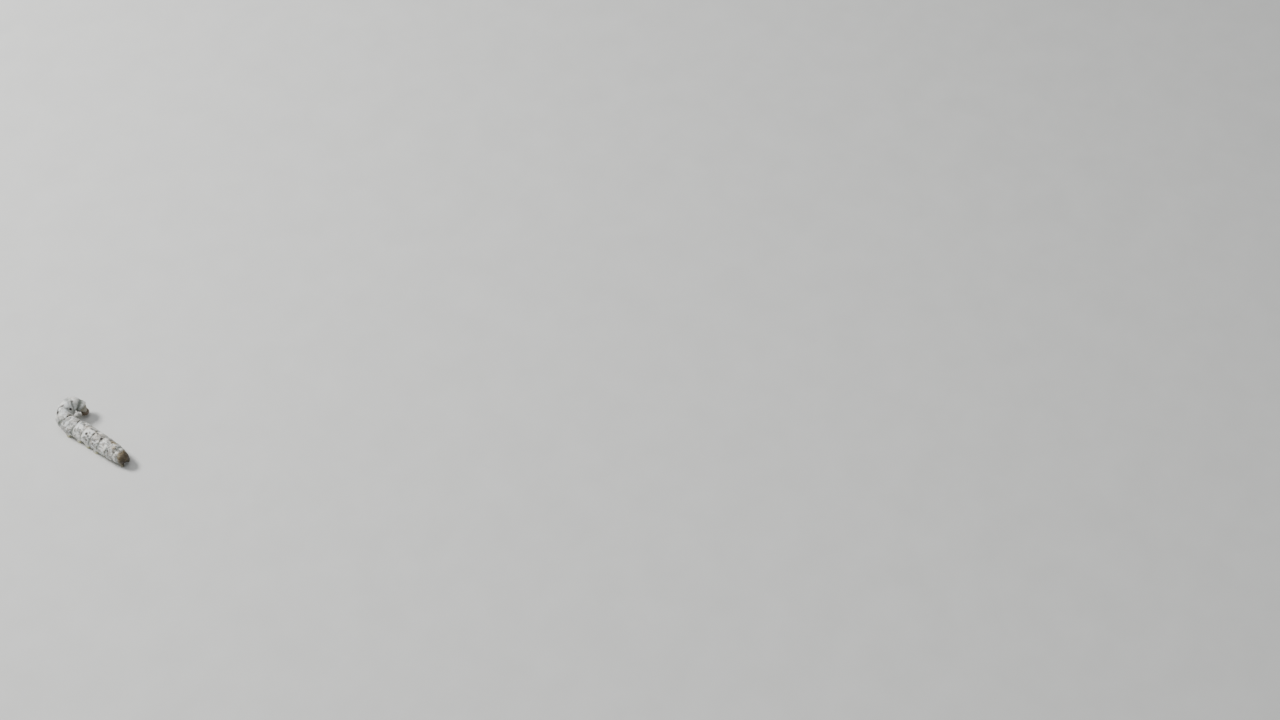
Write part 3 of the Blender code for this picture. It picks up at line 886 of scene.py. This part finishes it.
def skin_columns():
    """Angles round the body, closer together where the feet are drawn out."""
    steps = [0.0]
    while steps[-1] < 180.0:
        fine = ROUND_FINE_FROM < steps[-1] < ROUND_FINE_TO
        steps.append(steps[-1] + (ROUND_FINE if fine else ROUND_COARSE))
    half = np.array(steps) * 180.0 / steps[-1]
    return np.concatenate([-half[:0:-1], half[:-1]])


def skin_rows():
    t = np.arange(TAIL_ROWS) / TAIL_ROWS
    start = LENGTHS[0] * (1 - np.cos(t * math.pi / 2))
    return np.concatenate([start, np.linspace(LENGTHS[0], BODY_LENGTH, BODY_ROWS)])


# Collar between the skin's end and the head
COLLAR_SHARE = 0.012
COLLAR_STEPS = 24
COLLAR_LENGTH = 1.8 * MM
COLLAR_LEAVE = 1.0 * MM
COLLAR_MEET = 0.5 * MM
COLLAR_PLEAT = 0.06 * MM
COLLAR_PLEAT_PACE = 17.0


def neck_rings(columns):
    """The soft collar runs to the rim of the head, turns in and closes inside it."""
    forward = frame_at(BODY_LENGTH)[1]
    edge = skin_point(np.full(len(columns), BODY_LENGTH), columns)
    rim = head_point(COLLAR_SHARE, columns, -0.02 * MM)
    high = 0.5 + 0.5 * np.cos(np.radians(columns))[:, None]
    leave = forward * COLLAR_LEAVE * (0.3 + high)
    meet = (HEAD_FORWARD * 0.8 - HEAD_UP * high) * COLLAR_MEET * (0.35 + 0.65 * high)
    rings = []
    for k in range(1, COLLAR_STEPS + 1):
        t = k / COLLAR_STEPS
        ring = cubic(t, edge, rim, leave, meet)
        spoke = ring - ring.mean(axis=0)
        away = np.linalg.norm(spoke, axis=1)
        length = np.full(len(columns), BODY_LENGTH + t * COLLAR_LENGTH)
        relief = skin_relief(length, columns, away)[:, None] * ease((1 - t) * 3)
        pleat = COLLAR_PLEAT * np.sin(t * COLLAR_PLEAT_PACE) * ease(t * 5) * ease((1 - t) * 4)
        rings.append(ring + unit(spoke) * (relief + pleat * (0.3 + 0.7 * high)))
    for share, out in ((0.02, -0.1), (0.03, -0.3)):
        rings.append(head_point(share, columns, out * MM))
    rings.append(np.zeros_like(edge) + head_point(0.04, columns).mean(axis=0))
    return rings


def build_skin():
    columns = skin_columns()
    rows = skin_rows()
    s, a = every_pair(rows, columns)
    points = skin_point(s, a)
    footness = np.zeros(len(s))
    for foot in FEET:
        footness = np.maximum(footness, foot.shape(s, a, points))
    neck = neck_rings(columns)
    rings = np.concatenate([points.reshape(len(rows), len(columns), 3), neck])
    beyond = BODY_LENGTH + np.linspace(0.04, 1.2, len(neck)) * COLLAR_LENGTH
    s, a = every_pair(np.concatenate([rows, beyond]), columns)
    footness = np.concatenate([footness, np.zeros(len(s) - len(footness))])
    at_tail = s < 5 * MM
    bare = 1 - footness * np.where(at_tail, 0.35, 1.0)
    foot_tone = footness * np.where(at_tail, 0.4, 1.0)
    # Painted shade in the creases: darker the deeper the crease, none on the feet
    fold = np.clip(crease_depth(s, a) / 0.1, 0, 1) ** 1.7 * (1 - footness)
    belly = ease((np.abs(a) - 104) / 34)
    marks, tints = skin_marks(s, a)
    layers = {
        "body_marks": [tone * bare for tone in marks],
        "tints_and_painted_shade": [tone * bare for tone in tints],
        "crease_shade_and_tones": [fold, foot_tone, belly],
    }
    skin = closed_tube("silkworm_skin", rings, layers)
    feet = [f"proleg_{n}" for n in PROLEG_SEGMENTS] + ["clasper"]
    flesh = [f"{foot}_{word}" for word, foot in product(("left", "right"), feet)]
    finish_piece(skin, skin_material(), "skin_white_grey", *NAMES, *flesh)


# Head

def head_axes():
    centre, forward, left, up = frame_at(BODY_LENGTH)
    level = forward * math.cos(HEAD_YAW) + left * math.sin(HEAD_YAW)
    head_left = left * math.cos(HEAD_YAW) - forward * math.sin(HEAD_YAW)
    head_forward = level * math.cos(HEAD_DROP) - up * math.sin(HEAD_DROP)
    head_up = up * math.cos(HEAD_DROP) + level * math.sin(HEAD_DROP)
    return centre + forward * HEAD_SET_FORWARD, head_forward, head_left, head_up


HEAD_BACK, HEAD_FORWARD, HEAD_LEFT, HEAD_UP = head_axes()
HEAD_KNOTS = (0.0, 0.06, 0.16, 0.3, 0.5, 0.7, 0.85, 0.95, 1.0)
HEAD_WIDTHS = (0.62, 0.82, 0.96, 1.03, 1.03, 0.93, 0.76, 0.52, 0.3)
HEAD_ROWS = 90
HEAD_COLUMNS = 120
SUTURE_FORK = 0.36
CROWN_GROOVE = 0.085
CROWN_DIP = 0.035
FORK_GROOVE = 0.03
FACE_FLATNESS = 0.06
CHEEK = 0.04


def fork_angle(share):
    """Angle of the suture's two branches on each side of the face."""
    return 36 * np.clip((share - SUTURE_FORK) / 0.5, 0, 1) + 1


def head_point(share, a, out=0.0):
    """Points on the head capsule at shares of its length and angles."""
    share, a = pairs(share, a)
    turned = wrapped(a)
    crown = hump(turned, 8) * ease((SUTURE_FORK + 0.05 - share) / 0.12)
    dip = hump(turned, 26) * ease((0.5 - share) / 0.4)
    fork = hump(np.abs(turned) - fork_angle(share), 3.2)
    fork = fork * ease((share - SUTURE_FORK + 0.05) / 0.1)
    face = ease((share - 0.45) / 0.3) * hump(turned, 60)
    cheek = hump(np.abs(turned) - 82, 30) * hump(share - 0.55, 0.3)
    size = HEAD_HALF_WIDTH * smooth(share, HEAD_KNOTS, HEAD_WIDTHS)
    size = size * (1 - CROWN_GROOVE * crown - CROWN_DIP * dip) * (1 - FORK_GROOVE * fork)
    size = size * (1 - FACE_FLATNESS * face) * (1 + CHEEK * cheek)
    angle = np.radians(a)
    ray = HEAD_LEFT * np.sin(angle)[:, None] + HEAD_UP * np.cos(angle)[:, None]
    centre = HEAD_BACK + HEAD_FORWARD * (HEAD_LENGTH * share)[:, None]
    return centre + ray * (size + out)[:, None]


def build_head():
    shares = (1 - np.cos(np.linspace(0.0, math.pi, HEAD_ROWS))) / 2
    shares = np.concatenate([shares[:1], shares, shares[-1:]])
    columns = np.linspace(-180, 180, HEAD_COLUMNS, endpoint=False)
    share, a = every_pair(shares, columns)
    rings = head_point(share, a).reshape(len(shares), HEAD_COLUMNS, 3)
    rings[0] = rings[0].mean(axis=0)
    rings[-1] = rings[-1].mean(axis=0) + HEAD_FORWARD * 0.04 * MM
    turned = np.abs(wrapped(a))
    fork = fork_angle(share)
    eyes = hump(turned - 88, 16) * hump(share - 0.78, 0.09)
    lines = hump(turned - fork, 2.4) * ease((share - SUTURE_FORK + 0.05) / 0.1)
    lines = np.maximum(lines, hump(turned, 3.5) * ease((SUTURE_FORK - share) / 0.1))
    dark = np.clip(0.75 * eyes + 0.65 * lines + 0.8 * ease((share - 0.93) / 0.06), 0, 1)
    pale = hump(turned, 0.7 * fork + 4) * ease((share - SUTURE_FORK - 0.08) / 0.2)
    head = closed_tube("head_capsule", rings, {"head_marks": (dark, pale, np.zeros_like(dark))})
    finish_piece(head, head_material(), "head_brown", "head")


def head_matrix(origin, forward):
    """Turns a piece modelled along +X, with +Z up, to a direction on the head."""
    x = Vector(forward).normalized()
    z = Vector(HEAD_UP)
    z = (z - x * z.dot(x)).normalized()
    return matrix_of(x, z.cross(x), z, origin)


# Shares of the head's length and angles
EYE_PLACES = ((0.66, 84), (0.71, 74), (0.78, 70), (0.85, 76), (0.87, 90), (0.76, 100))
EYE_RADIUS = 0.105 * MM


def build_eyes():
    """Six small round eyes on each side of the head."""
    domes = []
    for side, (share, a) in product((1, -1), EYE_PLACES):
        bpy.ops.mesh.primitive_uv_sphere_add(
            segments=20, ring_count=12, radius=EYE_RADIUS,
            location=head_point(share, side * a, -0.02 * MM)[0],
        )
        domes.append(settle(bpy.context.object))
    eyes = join_pieces(domes, "eyes")
    shade(eyes)
    material = even_material(
        "eye_black", 5000, 9000, (0.006, 0.005, 0.005), (0.022, 0.015, 0.011),
        Roughness=0.12, Coat_Weight=0.6, Coat_Roughness=0.06,
    )
    finish_piece(eyes, material, "mouth_dark_brown")


PLUMPNESS = 1.2
PALP_JOINTS = ((0.12, 0.24, 0.3), (0.085, 0.18, 0.47), (0.05, 0.13, 0.6))


def plump_form(size, location, taper, matrix):
    """A soft rounded form, narrower towards its front end."""
    bpy.ops.mesh.primitive_cube_add(size=1.0, location=(0, 0, 0))
    form = bpy.context.object
    points = np.array([corner.co for corner in form.data.vertices]) * size * MM * PLUMPNESS
    points[points[:, 0] > 0, 1:] *= taper
    put_points(form, points + np.array(location) * MM)
    apply_modifier(form, "SUBSURF", levels=3, render_levels=3)
    shade(form)
    return place_by(form, matrix)


def taper_form(radius, tip, length, location, turn, matrix, sides=18):
    """A short tapered joint along +X with rounded rims."""
    bpy.ops.mesh.primitive_cone_add(
        vertices=sides, radius1=radius * MM, radius2=tip * MM, depth=length * MM,
        location=Vector(location) * MM,
        rotation=(0.0, math.radians(90 + turn[0]), math.radians(turn[1])),
    )
    form = bpy.context.object
    apply_modifier(form, "BEVEL", width=min(tip * 0.5, 0.02) * MM, segments=3)
    shade(form, 50)
    return place_by(form, matrix)


def build_mouth():
    """Upper lip in two lobes, two toothed jaws, palps, chin and spinneret."""
    root = HEAD_BACK + HEAD_FORWARD * HEAD_LENGTH * 0.97 - HEAD_UP * 0.1 * MM
    matrix = head_matrix(root, HEAD_FORWARD - HEAD_UP * 0.1)
    lips = [plump_form((0.3, 0.98, 0.22), (0.0, 0.0, 0.4), 0.86, matrix)]
    pieces = [plump_form((0.5, 0.5, 0.34), (0.14, 0.0, -0.34), 0.66, matrix)]
    for side in (1, -1):
        lips.append(plump_form((0.44, 0.46, 0.2), (0.26, side * 0.2, 0.34), 0.9, matrix))
        pieces.append(plump_form((0.6, 0.42, 0.46), (0.25, side * 0.27, 0.05), 0.7, matrix))
        pieces.append(plump_form((0.44, 0.28, 0.34), (0.08, side * 0.4, -0.26), 0.8, matrix))
        for k in range(4):
            place = (0.51 - 0.015 * k, side * (0.08 + 0.085 * k), 0.1 - 0.03 * k)
            pieces.append(taper_form(0.055, 0.016, 0.13, place, (0, -side * 14), matrix, 10))
        for k, (radius, length, middle) in enumerate(PALP_JOINTS):
            place = (middle, side * (0.4 - 0.02 * k), -0.28)
            turn = (4, -side * 8)
            pieces.append(taper_form(radius, radius * 0.8, length, place, turn, matrix))
        place = (0.42, side * 0.13, -0.42)
        pieces.append(taper_form(0.045, 0.03, 0.16, place, (12, 0), matrix, 12))
    pieces.append(taper_form(0.085, 0.03, 0.36, (0.5, 0.0, -0.38), (8, 0), matrix))
    lip = join_pieces(lips, "upper_lip")
    shell = shell_material("lip_shell", (0.3, 0.2, 0.11), (0.13, 0.075, 0.038), 2600, 0.4)
    finish_piece(lip, shell, "mouth_dark_brown")
    mouth = join_pieces(pieces, "mouthparts_fine")
    shell = shell_material("mouth_shell", (0.17, 0.085, 0.04), (0.045, 0.022, 0.012), 2600, 0.36)
    finish_piece(mouth, shell, "mouth_dark_brown", "mouthparts")


# Joints of the antennae: share of the length, share of the root's radius
ANTENNA_LENGTH = 0.85 * MM
ANTENNA_ROOT_RADIUS = 0.24 * MM
ANTENNA_JOINTS = ((0.38, 1.0), (0.34, 0.72), (0.2, 0.42))
ALONG_X = (0.0, math.radians(90), 0.0)


def build_antenna(side, word, material):
    """Three joints, each narrower, with a hair at the tip."""
    root = head_point(0.8, side * 112, 0.02 * MM)[0]
    aim = HEAD_FORWARD * 0.9 + HEAD_LEFT * side * 0.35 - HEAD_UP * 0.45
    matrix = head_matrix(root, aim)
    pieces = []
    start = 0.0
    for length, radius in ANTENNA_JOINTS:
        bpy.ops.mesh.primitive_cylinder_add(
            vertices=24, radius=ANTENNA_ROOT_RADIUS * radius, depth=ANTENNA_LENGTH * length,
            location=((start + length / 2) * ANTENNA_LENGTH, 0.0, 0.0), rotation=ALONG_X,
        )
        joint = bpy.context.object
        apply_modifier(joint, "BEVEL", width=ANTENNA_ROOT_RADIUS * 0.22, segments=4)
        shade(joint, 50)
        pieces.append(place_by(joint, matrix))
        start += length * 0.94
    bpy.ops.mesh.primitive_cone_add(
        vertices=8, radius1=0.025 * MM, radius2=0.006 * MM, depth=0.4 * MM,
        location=(start * ANTENNA_LENGTH + 0.17 * MM, 0.0, 0.02 * MM), rotation=ALONG_X,
    )
    pieces.append(place_by(bpy.context.object, matrix))
    antenna = join_pieces(pieces, f"antenna_{word}_fine")
    finish_piece(antenna, material, "antenna_tan", f"antenna_{word}")


# Walking legs: share of the length, share of the root's radius
LEG_PROFILE = (
    (0, 0.95), (0.05, 1.12), (0.14, 1.05), (0.26, 0.86), (0.3, 0.74), (0.35, 0.83), (0.43, 0.84),
    (0.52, 0.68), (0.56, 0.56), (0.6, 0.63), (0.68, 0.6), (0.76, 0.46), (0.79, 0.37), (0.83, 0.4),
    (0.88, 0.33), (0.91, 0.24),
)
LEG_ROWS = 56
LEG_COLUMNS = 28
CLAW_FROM = 0.88
CLAW_TO = 1.01
CLAW_RADIUS = 0.27
CLAW_ROWS = 14
CLAW_COLUMNS = 12


def tube_rings(middle, lean, forward, radii, sides):
    """Rings round a course of middle points that leans as given, with closed ends."""
    lean = unit(lean)
    axis_a = unit(forward - lean * (lean @ forward)[:, None])
    centres = np.repeat(middle[:, None, :], sides, axis=1)
    rings = centres + radii[:, None, None] * spokes(axis_a, np.cross(lean, axis_a), sides)
    return np.concatenate([centres[:1], rings, centres[-1:]])


def build_leg(n, place, scale, sweep, side, word, leg_shell, claw_shell):
    centre, forward, left, _ = frame_at(place_on(f"thorax_{n}", place))
    angle = LEG_ANGLE if side > 0 else -INNER_LEG_ANGLE
    root = skin_point(place_on(f"thorax_{n}", place), angle, -LEG_SUNK)[0]
    outwards = unit(root - centre)
    bend = forward * sweep - left * side * LEG_HOOK
    reach = LEG_LENGTH * scale + GAP + LEG_SUNK
    radius = LEG_ROOT_RADIUS * min(scale, 1.0)

    def course(shares):
        t = shares[:, None]
        lean = outwards * LEG_OUT + bend * 2 * t
        return root + reach * (outwards * LEG_OUT * t + bend * t * t), lean, forward

    knots, widths = zip(*LEG_PROFILE)
    t = np.linspace(0.0, knots[-1], LEG_ROWS)
    rings = tube_rings(*course(t), radius * smooth(t, knots, widths), LEG_COLUMNS)
    leg = closed_tube(f"leg_{n}_{word}_fine", rings)
    finish_piece(leg, leg_shell, "leg_tan", f"leg_{n}_{word}")
    t = np.linspace(CLAW_FROM, CLAW_TO, CLAW_ROWS)
    narrowing = 0.9 * ((t - CLAW_FROM) / (CLAW_TO - CLAW_FROM)) ** 1.5
    rings = tube_rings(*course(t), radius * CLAW_RADIUS * (1 - narrowing), CLAW_COLUMNS)
    claw = closed_tube(f"claw_{n}_{word}", rings)
    finish_piece(claw, claw_shell, "mouth_dark_brown")


def build_legs():
    leg_shell = shell_material("leg_shell", (0.44, 0.3, 0.16), (0.24, 0.15, 0.075), 1800, 0.4)
    claw_shell = shell_material("claw_shell", (0.09, 0.05, 0.025), (0.03, 0.016, 0.01), 3000, 0.3)
    for n, place, scale, sweep, _ in LEG_PAIRS:
        build_leg(n, place, scale, sweep, 1, "left", leg_shell, claw_shell)
    for n, place, scale, _, sweep in LEG_PAIRS:
        build_leg(n, place, scale * INNER_LEG_SCALE, sweep, -1, "right", leg_shell, claw_shell)


# Horn

HORN_ROWS = 60
HORN_COLUMNS = 40
GRANULE_ROWS = 26
GRANULE_COLUMNS = 16


def build_horn():
    """A soft cone that leans back, wrinkled across and dotted with granules."""
    s = place_on("abdomen_8", HORN_PLACE)
    _, forward, _, up = frame_at(s)
    root = skin_point(s, 0.0, -HORN_SUNK)[0]
    t = np.linspace(0.0, 1.0, HORN_ROWS)
    radii = HORN_ROOT_RADIUS * (1 - t) ** 0.8 + HORN_TIP_RADIUS * t
    radii *= 1 + 0.22 * hump(t, 0.14) - 0.3 * ease((t - 0.93) / 0.07)
    t = t[:, None]
    reach = HORN_LENGTH + GAP
    middle = root + reach * (up * HORN_UP * t - forward * HORN_BACK * t**HORN_BEND)
    lean = up * HORN_UP - forward * HORN_BACK * HORN_BEND * t ** (HORN_BEND - 1)
    rings = tube_rings(middle, lean, forward, radii, HORN_COLUMNS)
    turn = np.arange(HORN_COLUMNS)[None, :] / HORN_COLUMNS * GRANULE_COLUMNS
    x, y = np.broadcast_arrays(t * GRANULE_ROWS, turn)
    bumps = 0.07 * noise(x, y, 64, GRANULE_COLUMNS, SEED + 20) + 0.035 * np.sin(t * 70)
    rings[1:-1] += (rings[1:-1] - middle[:, None, :]) * bumps[:, :, None]
    horn = closed_tube("horn_fine", rings)
    skin = shell_material("horn_skin", (0.6, 0.55, 0.44), (0.36, 0.29, 0.2), 1500, 0.55, coat=0.05)
    finish_piece(horn, skin, "horn_ochre", "horn")


# Breathing pores

PORE_SEGMENTS = ("thorax_1",) + tuple(f"abdomen_{n}" for n in range(1, 9))
PORE_PLACE = 0.42
PORE_ANGLE = 92.0
PORE_TALL = 0.26 * MM
PORE_WIDE = 0.14 * MM


def surface_matrix(s, a):
    """Place on the skin with Z out of it and X along the body."""
    reach = 0.06 * MM
    ahead, behind = skin_point((s + reach, s - reach), (a, a), detail=False)
    upper, lower = skin_point((s, s), (a + 1.5, a - 1.5), detail=False)
    place = skin_point(s, a)[0]
    x = Vector(ahead - behind).normalized()
    z = x.cross(Vector(upper - lower)).normalized()
    if z.dot(Vector(place - frame_at(s)[0])) < 0:
        z = -z
    return matrix_of(x, z.cross(x), z, place)


def pore_ball(matrix, radius, scale, location=(0.0, 0.0, 0.0)):
    bpy.ops.mesh.primitive_uv_sphere_add(
        segments=24, ring_count=12, radius=PORE_TALL * radius, location=location
    )
    ball = bpy.context.object
    ball.scale = scale
    return place_by(ball, matrix)


def build_pores():
    """Two brown lips with a slit between them in an oval black rim, low on each side."""
    rims, lips = [], []
    narrow = PORE_WIDE / PORE_TALL
    for name, side in product(PORE_SEGMENTS, (1, -1)):
        matrix = surface_matrix(place_on(name, PORE_PLACE), side * PORE_ANGLE)
        bpy.ops.mesh.primitive_torus_add(
            major_segments=40, minor_segments=14, major_radius=PORE_TALL * 0.82,
            minor_radius=PORE_TALL * 0.22,
        )
        rim = bpy.context.object
        rim.scale = (narrow, 1.0, 0.8)
        rims.append(place_by(rim, matrix))
        rims.append(pore_ball(matrix, 0.84, (narrow, 1.0, 0.16)))
        for half in (1, -1):
            place = (half * PORE_WIDE * 0.37, 0.0, -0.015 * MM)
            lips.append(pore_ball(matrix, 0.8, (narrow * 0.44, 0.92, 0.3), place))
    pores = join_pieces(rims, "breathing_pores")
    shade(pores)
    black = shell_material("pore_black", (0.035, 0.026, 0.02), (0.01, 0.008, 0.006), 2600, 0.5)
    finish_piece(pores, black, "mouth_dark_brown")
    plates = join_pieces(lips, "breathing_pore_lips")
    shade(plates)
    brown = shell_material(
        "pore_brown", (0.13, 0.085, 0.05), (0.05, 0.03, 0.018), 4200, 0.6, coat=0.0
    )
    finish_piece(plates, brown, "mouth_dark_brown")


# Hooks of the feet and fine hairs

HOOKS_PER_FOOT = 22
HOOK_RADIUS = 0.022 * MM
HOOK_ARC = 150
HAIR_SHARES = (0.16, 0.44, 0.6, 0.82)
HAIR_RING = (12.0, 30.0, 52.0, 76.0, 104.0, 118.0, 150.0)
HAIR_LENGTH = 0.42 * MM
HAIR_RADIUS = 0.009 * MM
HEAD_HAIRS = 90


def thin_spikes(spikes, radius, name, sides):
    """Thin tapered spikes, each from a root to a tip with a bend half way."""
    roots, tips, bends = (np.array(part) for part in zip(*spikes))
    course = tips - roots
    steep = np.abs(course[:, 2:3]) > 0.9 * np.linalg.norm(course, axis=1)[:, None]
    axis_a = unit(np.cross(course, np.where(steep, [[1.0, 0.0, 0.0]], [[0.0, 0.0, 1.0]])))
    rays = radius * spokes(axis_a, unit(np.cross(course, axis_a)), sides)
    low = roots[:, None, :] + rays
    mid = ((roots + tips) / 2 + bends)[:, None, :] + rays * 0.7
    verts = np.concatenate([low, mid, tips[:, None, :]], axis=1)
    size = 2 * sides + 1
    faces = []
    for base in range(0, len(roots) * size, size):
        faces.append(tuple(base + k for k in reversed(range(sides))))
        for k in range(sides):
            j = (k + 1) % sides
            faces.append((base + k, base + j, base + sides + j, base + sides + k))
            faces.append((base + sides + k, base + sides + j, base + 2 * sides))
    mesh = bpy.data.meshes.new(name)
    mesh.from_pydata(verts.reshape(-1, 3).tolist(), [], faces)
    obj = link_new(name, mesh)
    close_and_face_out(obj, 1e-9)
    return obj


def build_hooks():
    """A half ring of small brown hooks on the inner edge of each sole."""
    spikes = []
    up = np.array([0.0, 0.0, MM])
    for foot, k in product(FEET, range(HOOKS_PER_FOOT)):
        turn = math.radians(90 + HOOK_ARC * (k / (HOOKS_PER_FOOT - 1) - 0.5))
        ray = foot.flat * SOLE_LONG * math.cos(turn) + foot.inwards * SOLE_WIDE * math.sin(turn)
        root = foot.sole + ray * 0.88 + up * 0.11
        tip = foot.sole + ray * 1.1 + up * 0.012
        spikes.append((root, tip, unit(ray) * 0.05 * MM + up * 0.01))
    hooks = thin_spikes(spikes, HOOK_RADIUS, "foot_hooks", 6)
    shell = shell_material("hook_shell", (0.2, 0.11, 0.05), (0.07, 0.035, 0.018), 3000, 0.35)
    finish_piece(hooks, shell, "mouth_dark_brown")


def build_hairs():
    """Sparse fine hairs on each segment and on the head."""
    draw = random.Random(SEED)
    spikes = []

    def add(root, centre, along, length):
        out = unit(root - centre)
        lean = out + along * draw.uniform(-0.3, 0.5)
        lean += np.array([draw.uniform(-0.25, 0.25) for _ in range(3)])
        spikes.append((root - out * 0.02 * MM, root + unit(lean) * length, out * length * 0.1))

    for name, share, a, side in product(NAMES, HAIR_SHARES, HAIR_RING, (1, -1)):
        angle = side * (a + draw.uniform(-7, 7))
        place = share + draw.uniform(-0.09, 0.09)
        s = place_on(name, min(0.95, max(0.05, place)))
        if any(foot.reach(s, angle) < 1.1 for foot in FEET):
            continue
        centre, forward, _, _ = frame_at(s)
        length = HAIR_LENGTH * draw.uniform(0.5, 1.15)
        if name == NAMES[0]:
            length *= 0.7
        elif a > 100 or name == NAMES[-1]:
            length *= 1.35
        add(skin_point(s, angle)[0], centre, -forward, length)
    for _ in range(HEAD_HAIRS):
        share = draw.uniform(0.12, 0.95)
        root = head_point(share, draw.uniform(-150, 150))[0]
        centre = HEAD_BACK + HEAD_FORWARD * HEAD_LENGTH * share
        add(root, centre, HEAD_FORWARD, HAIR_LENGTH * draw.uniform(0.5, 1.1))
    hairs = thin_spikes(spikes, HAIR_RADIUS, "fine_hairs", 4)
    pale = even_material(
        "hair_pale", 800, 6000, (0.5, 0.44, 0.34), (0.78, 0.74, 0.64), Roughness=0.4
    )
    finish_piece(hairs, pale, "antenna_tan")


# Floor, light and camera

FLOOR_SIZE = 8.0
LIGHT_TARGET = Vector((0.0, 0.0, 0.004))

# Lights: name, steps to the right, ahead and up from the target, power, size
LIGHTS = (
    ("key", -0.6, 0.3, 0.7, 15.0, 0.26),
    ("fill", 0.5, -0.7, 0.6, 1.3, 0.8),
    ("top", 0.1, 0.1, 1.2, 5.0, 0.9),
)


def view_axes():
    """The camera's forward, right and up directions."""
    flat = math.cos(CAMERA_ELEVATION)
    right = Vector((math.cos(CAMERA_AZIMUTH), math.sin(CAMERA_AZIMUTH), 0.0))
    look = Vector((-right.y * flat, right.x * flat, -math.sin(CAMERA_ELEVATION)))
    return look, right, right.cross(look)


def build_camera():
    look, right, up = view_axes()
    focal_pixels = LENS_MM / SENSOR_MM * PHOTO_WIDTH
    depth = focal_pixels / PIXELS_PER_MM * MM
    anchor = Vector(frame_at(BORDERS[ANCHOR_BORDER])[0])
    aside = (ANCHOR_PIXEL_X - PHOTO_WIDTH / 2) / focal_pixels
    above = (PHOTO_HEIGHT / 2 - ANCHOR_PIXEL_Y) / focal_pixels
    data = bpy.data.cameras.new("photo_camera")
    data.lens = LENS_MM
    data.sensor_width = SENSOR_MM
    data.clip_start = 0.002
    camera = link_new("photo_camera", data)
    place = anchor - depth * (look + aside * right + above * up)
    camera.matrix_world = matrix_of(right, up, -look, place)
    bpy.context.scene.camera = camera


def build_floor():
    select_only()
    bpy.ops.mesh.primitive_plane_add(size=FLOOR_SIZE, location=(0.0, 0.0, 0.0))
    floor = named(bpy.context.object, "floor")
    shader = Shader("floor_pale")
    tone = shader.noise(60, 2.0)
    colour = shader.two_tone(tone, 0.3, 0.7, (0.6, 0.6, 0.58), (0.63, 0.63, 0.61))
    floor.data.materials.append(shader.surfaced(Base_Color=colour, Roughness=0.85))


def build_light():
    look, right, _ = view_axes()
    ahead = Vector((look.x, look.y, 0.0)).normalized()
    for name, aside, forward, high, power, size in LIGHTS:
        offset = aside * right + forward * ahead + high * Vector((0.0, 0.0, 1.0))
        data = bpy.data.lights.new(name, "AREA")
        data.energy = power
        data.size = size
        lamp = link_new(name, data)
        lamp.location = LIGHT_TARGET + offset
        lamp.rotation_euler = (-offset).to_track_quat("-Z", "Y").to_euler()
    world = bpy.data.worlds.new("soft_room")
    world.use_nodes = True
    background = world.node_tree.nodes["Background"]
    background.inputs["Color"].default_value = (0.86, 0.9, 0.95, 1.0)
    background.inputs["Strength"].default_value = 0.27
    bpy.context.scene.world = world


build_camera()
build_floor()
build_light()
build_skin()
build_head()
build_eyes()
build_mouth()
ANTENNA_SHELL = shell_material("antenna_shell", (0.46, 0.33, 0.2), (0.26, 0.17, 0.09), 2400, 0.42)
build_antenna(1, "left", ANTENNA_SHELL)
build_antenna(-1, "right", ANTENNA_SHELL)
build_legs()
build_horn()
build_pores()
build_hooks()
build_hairs()
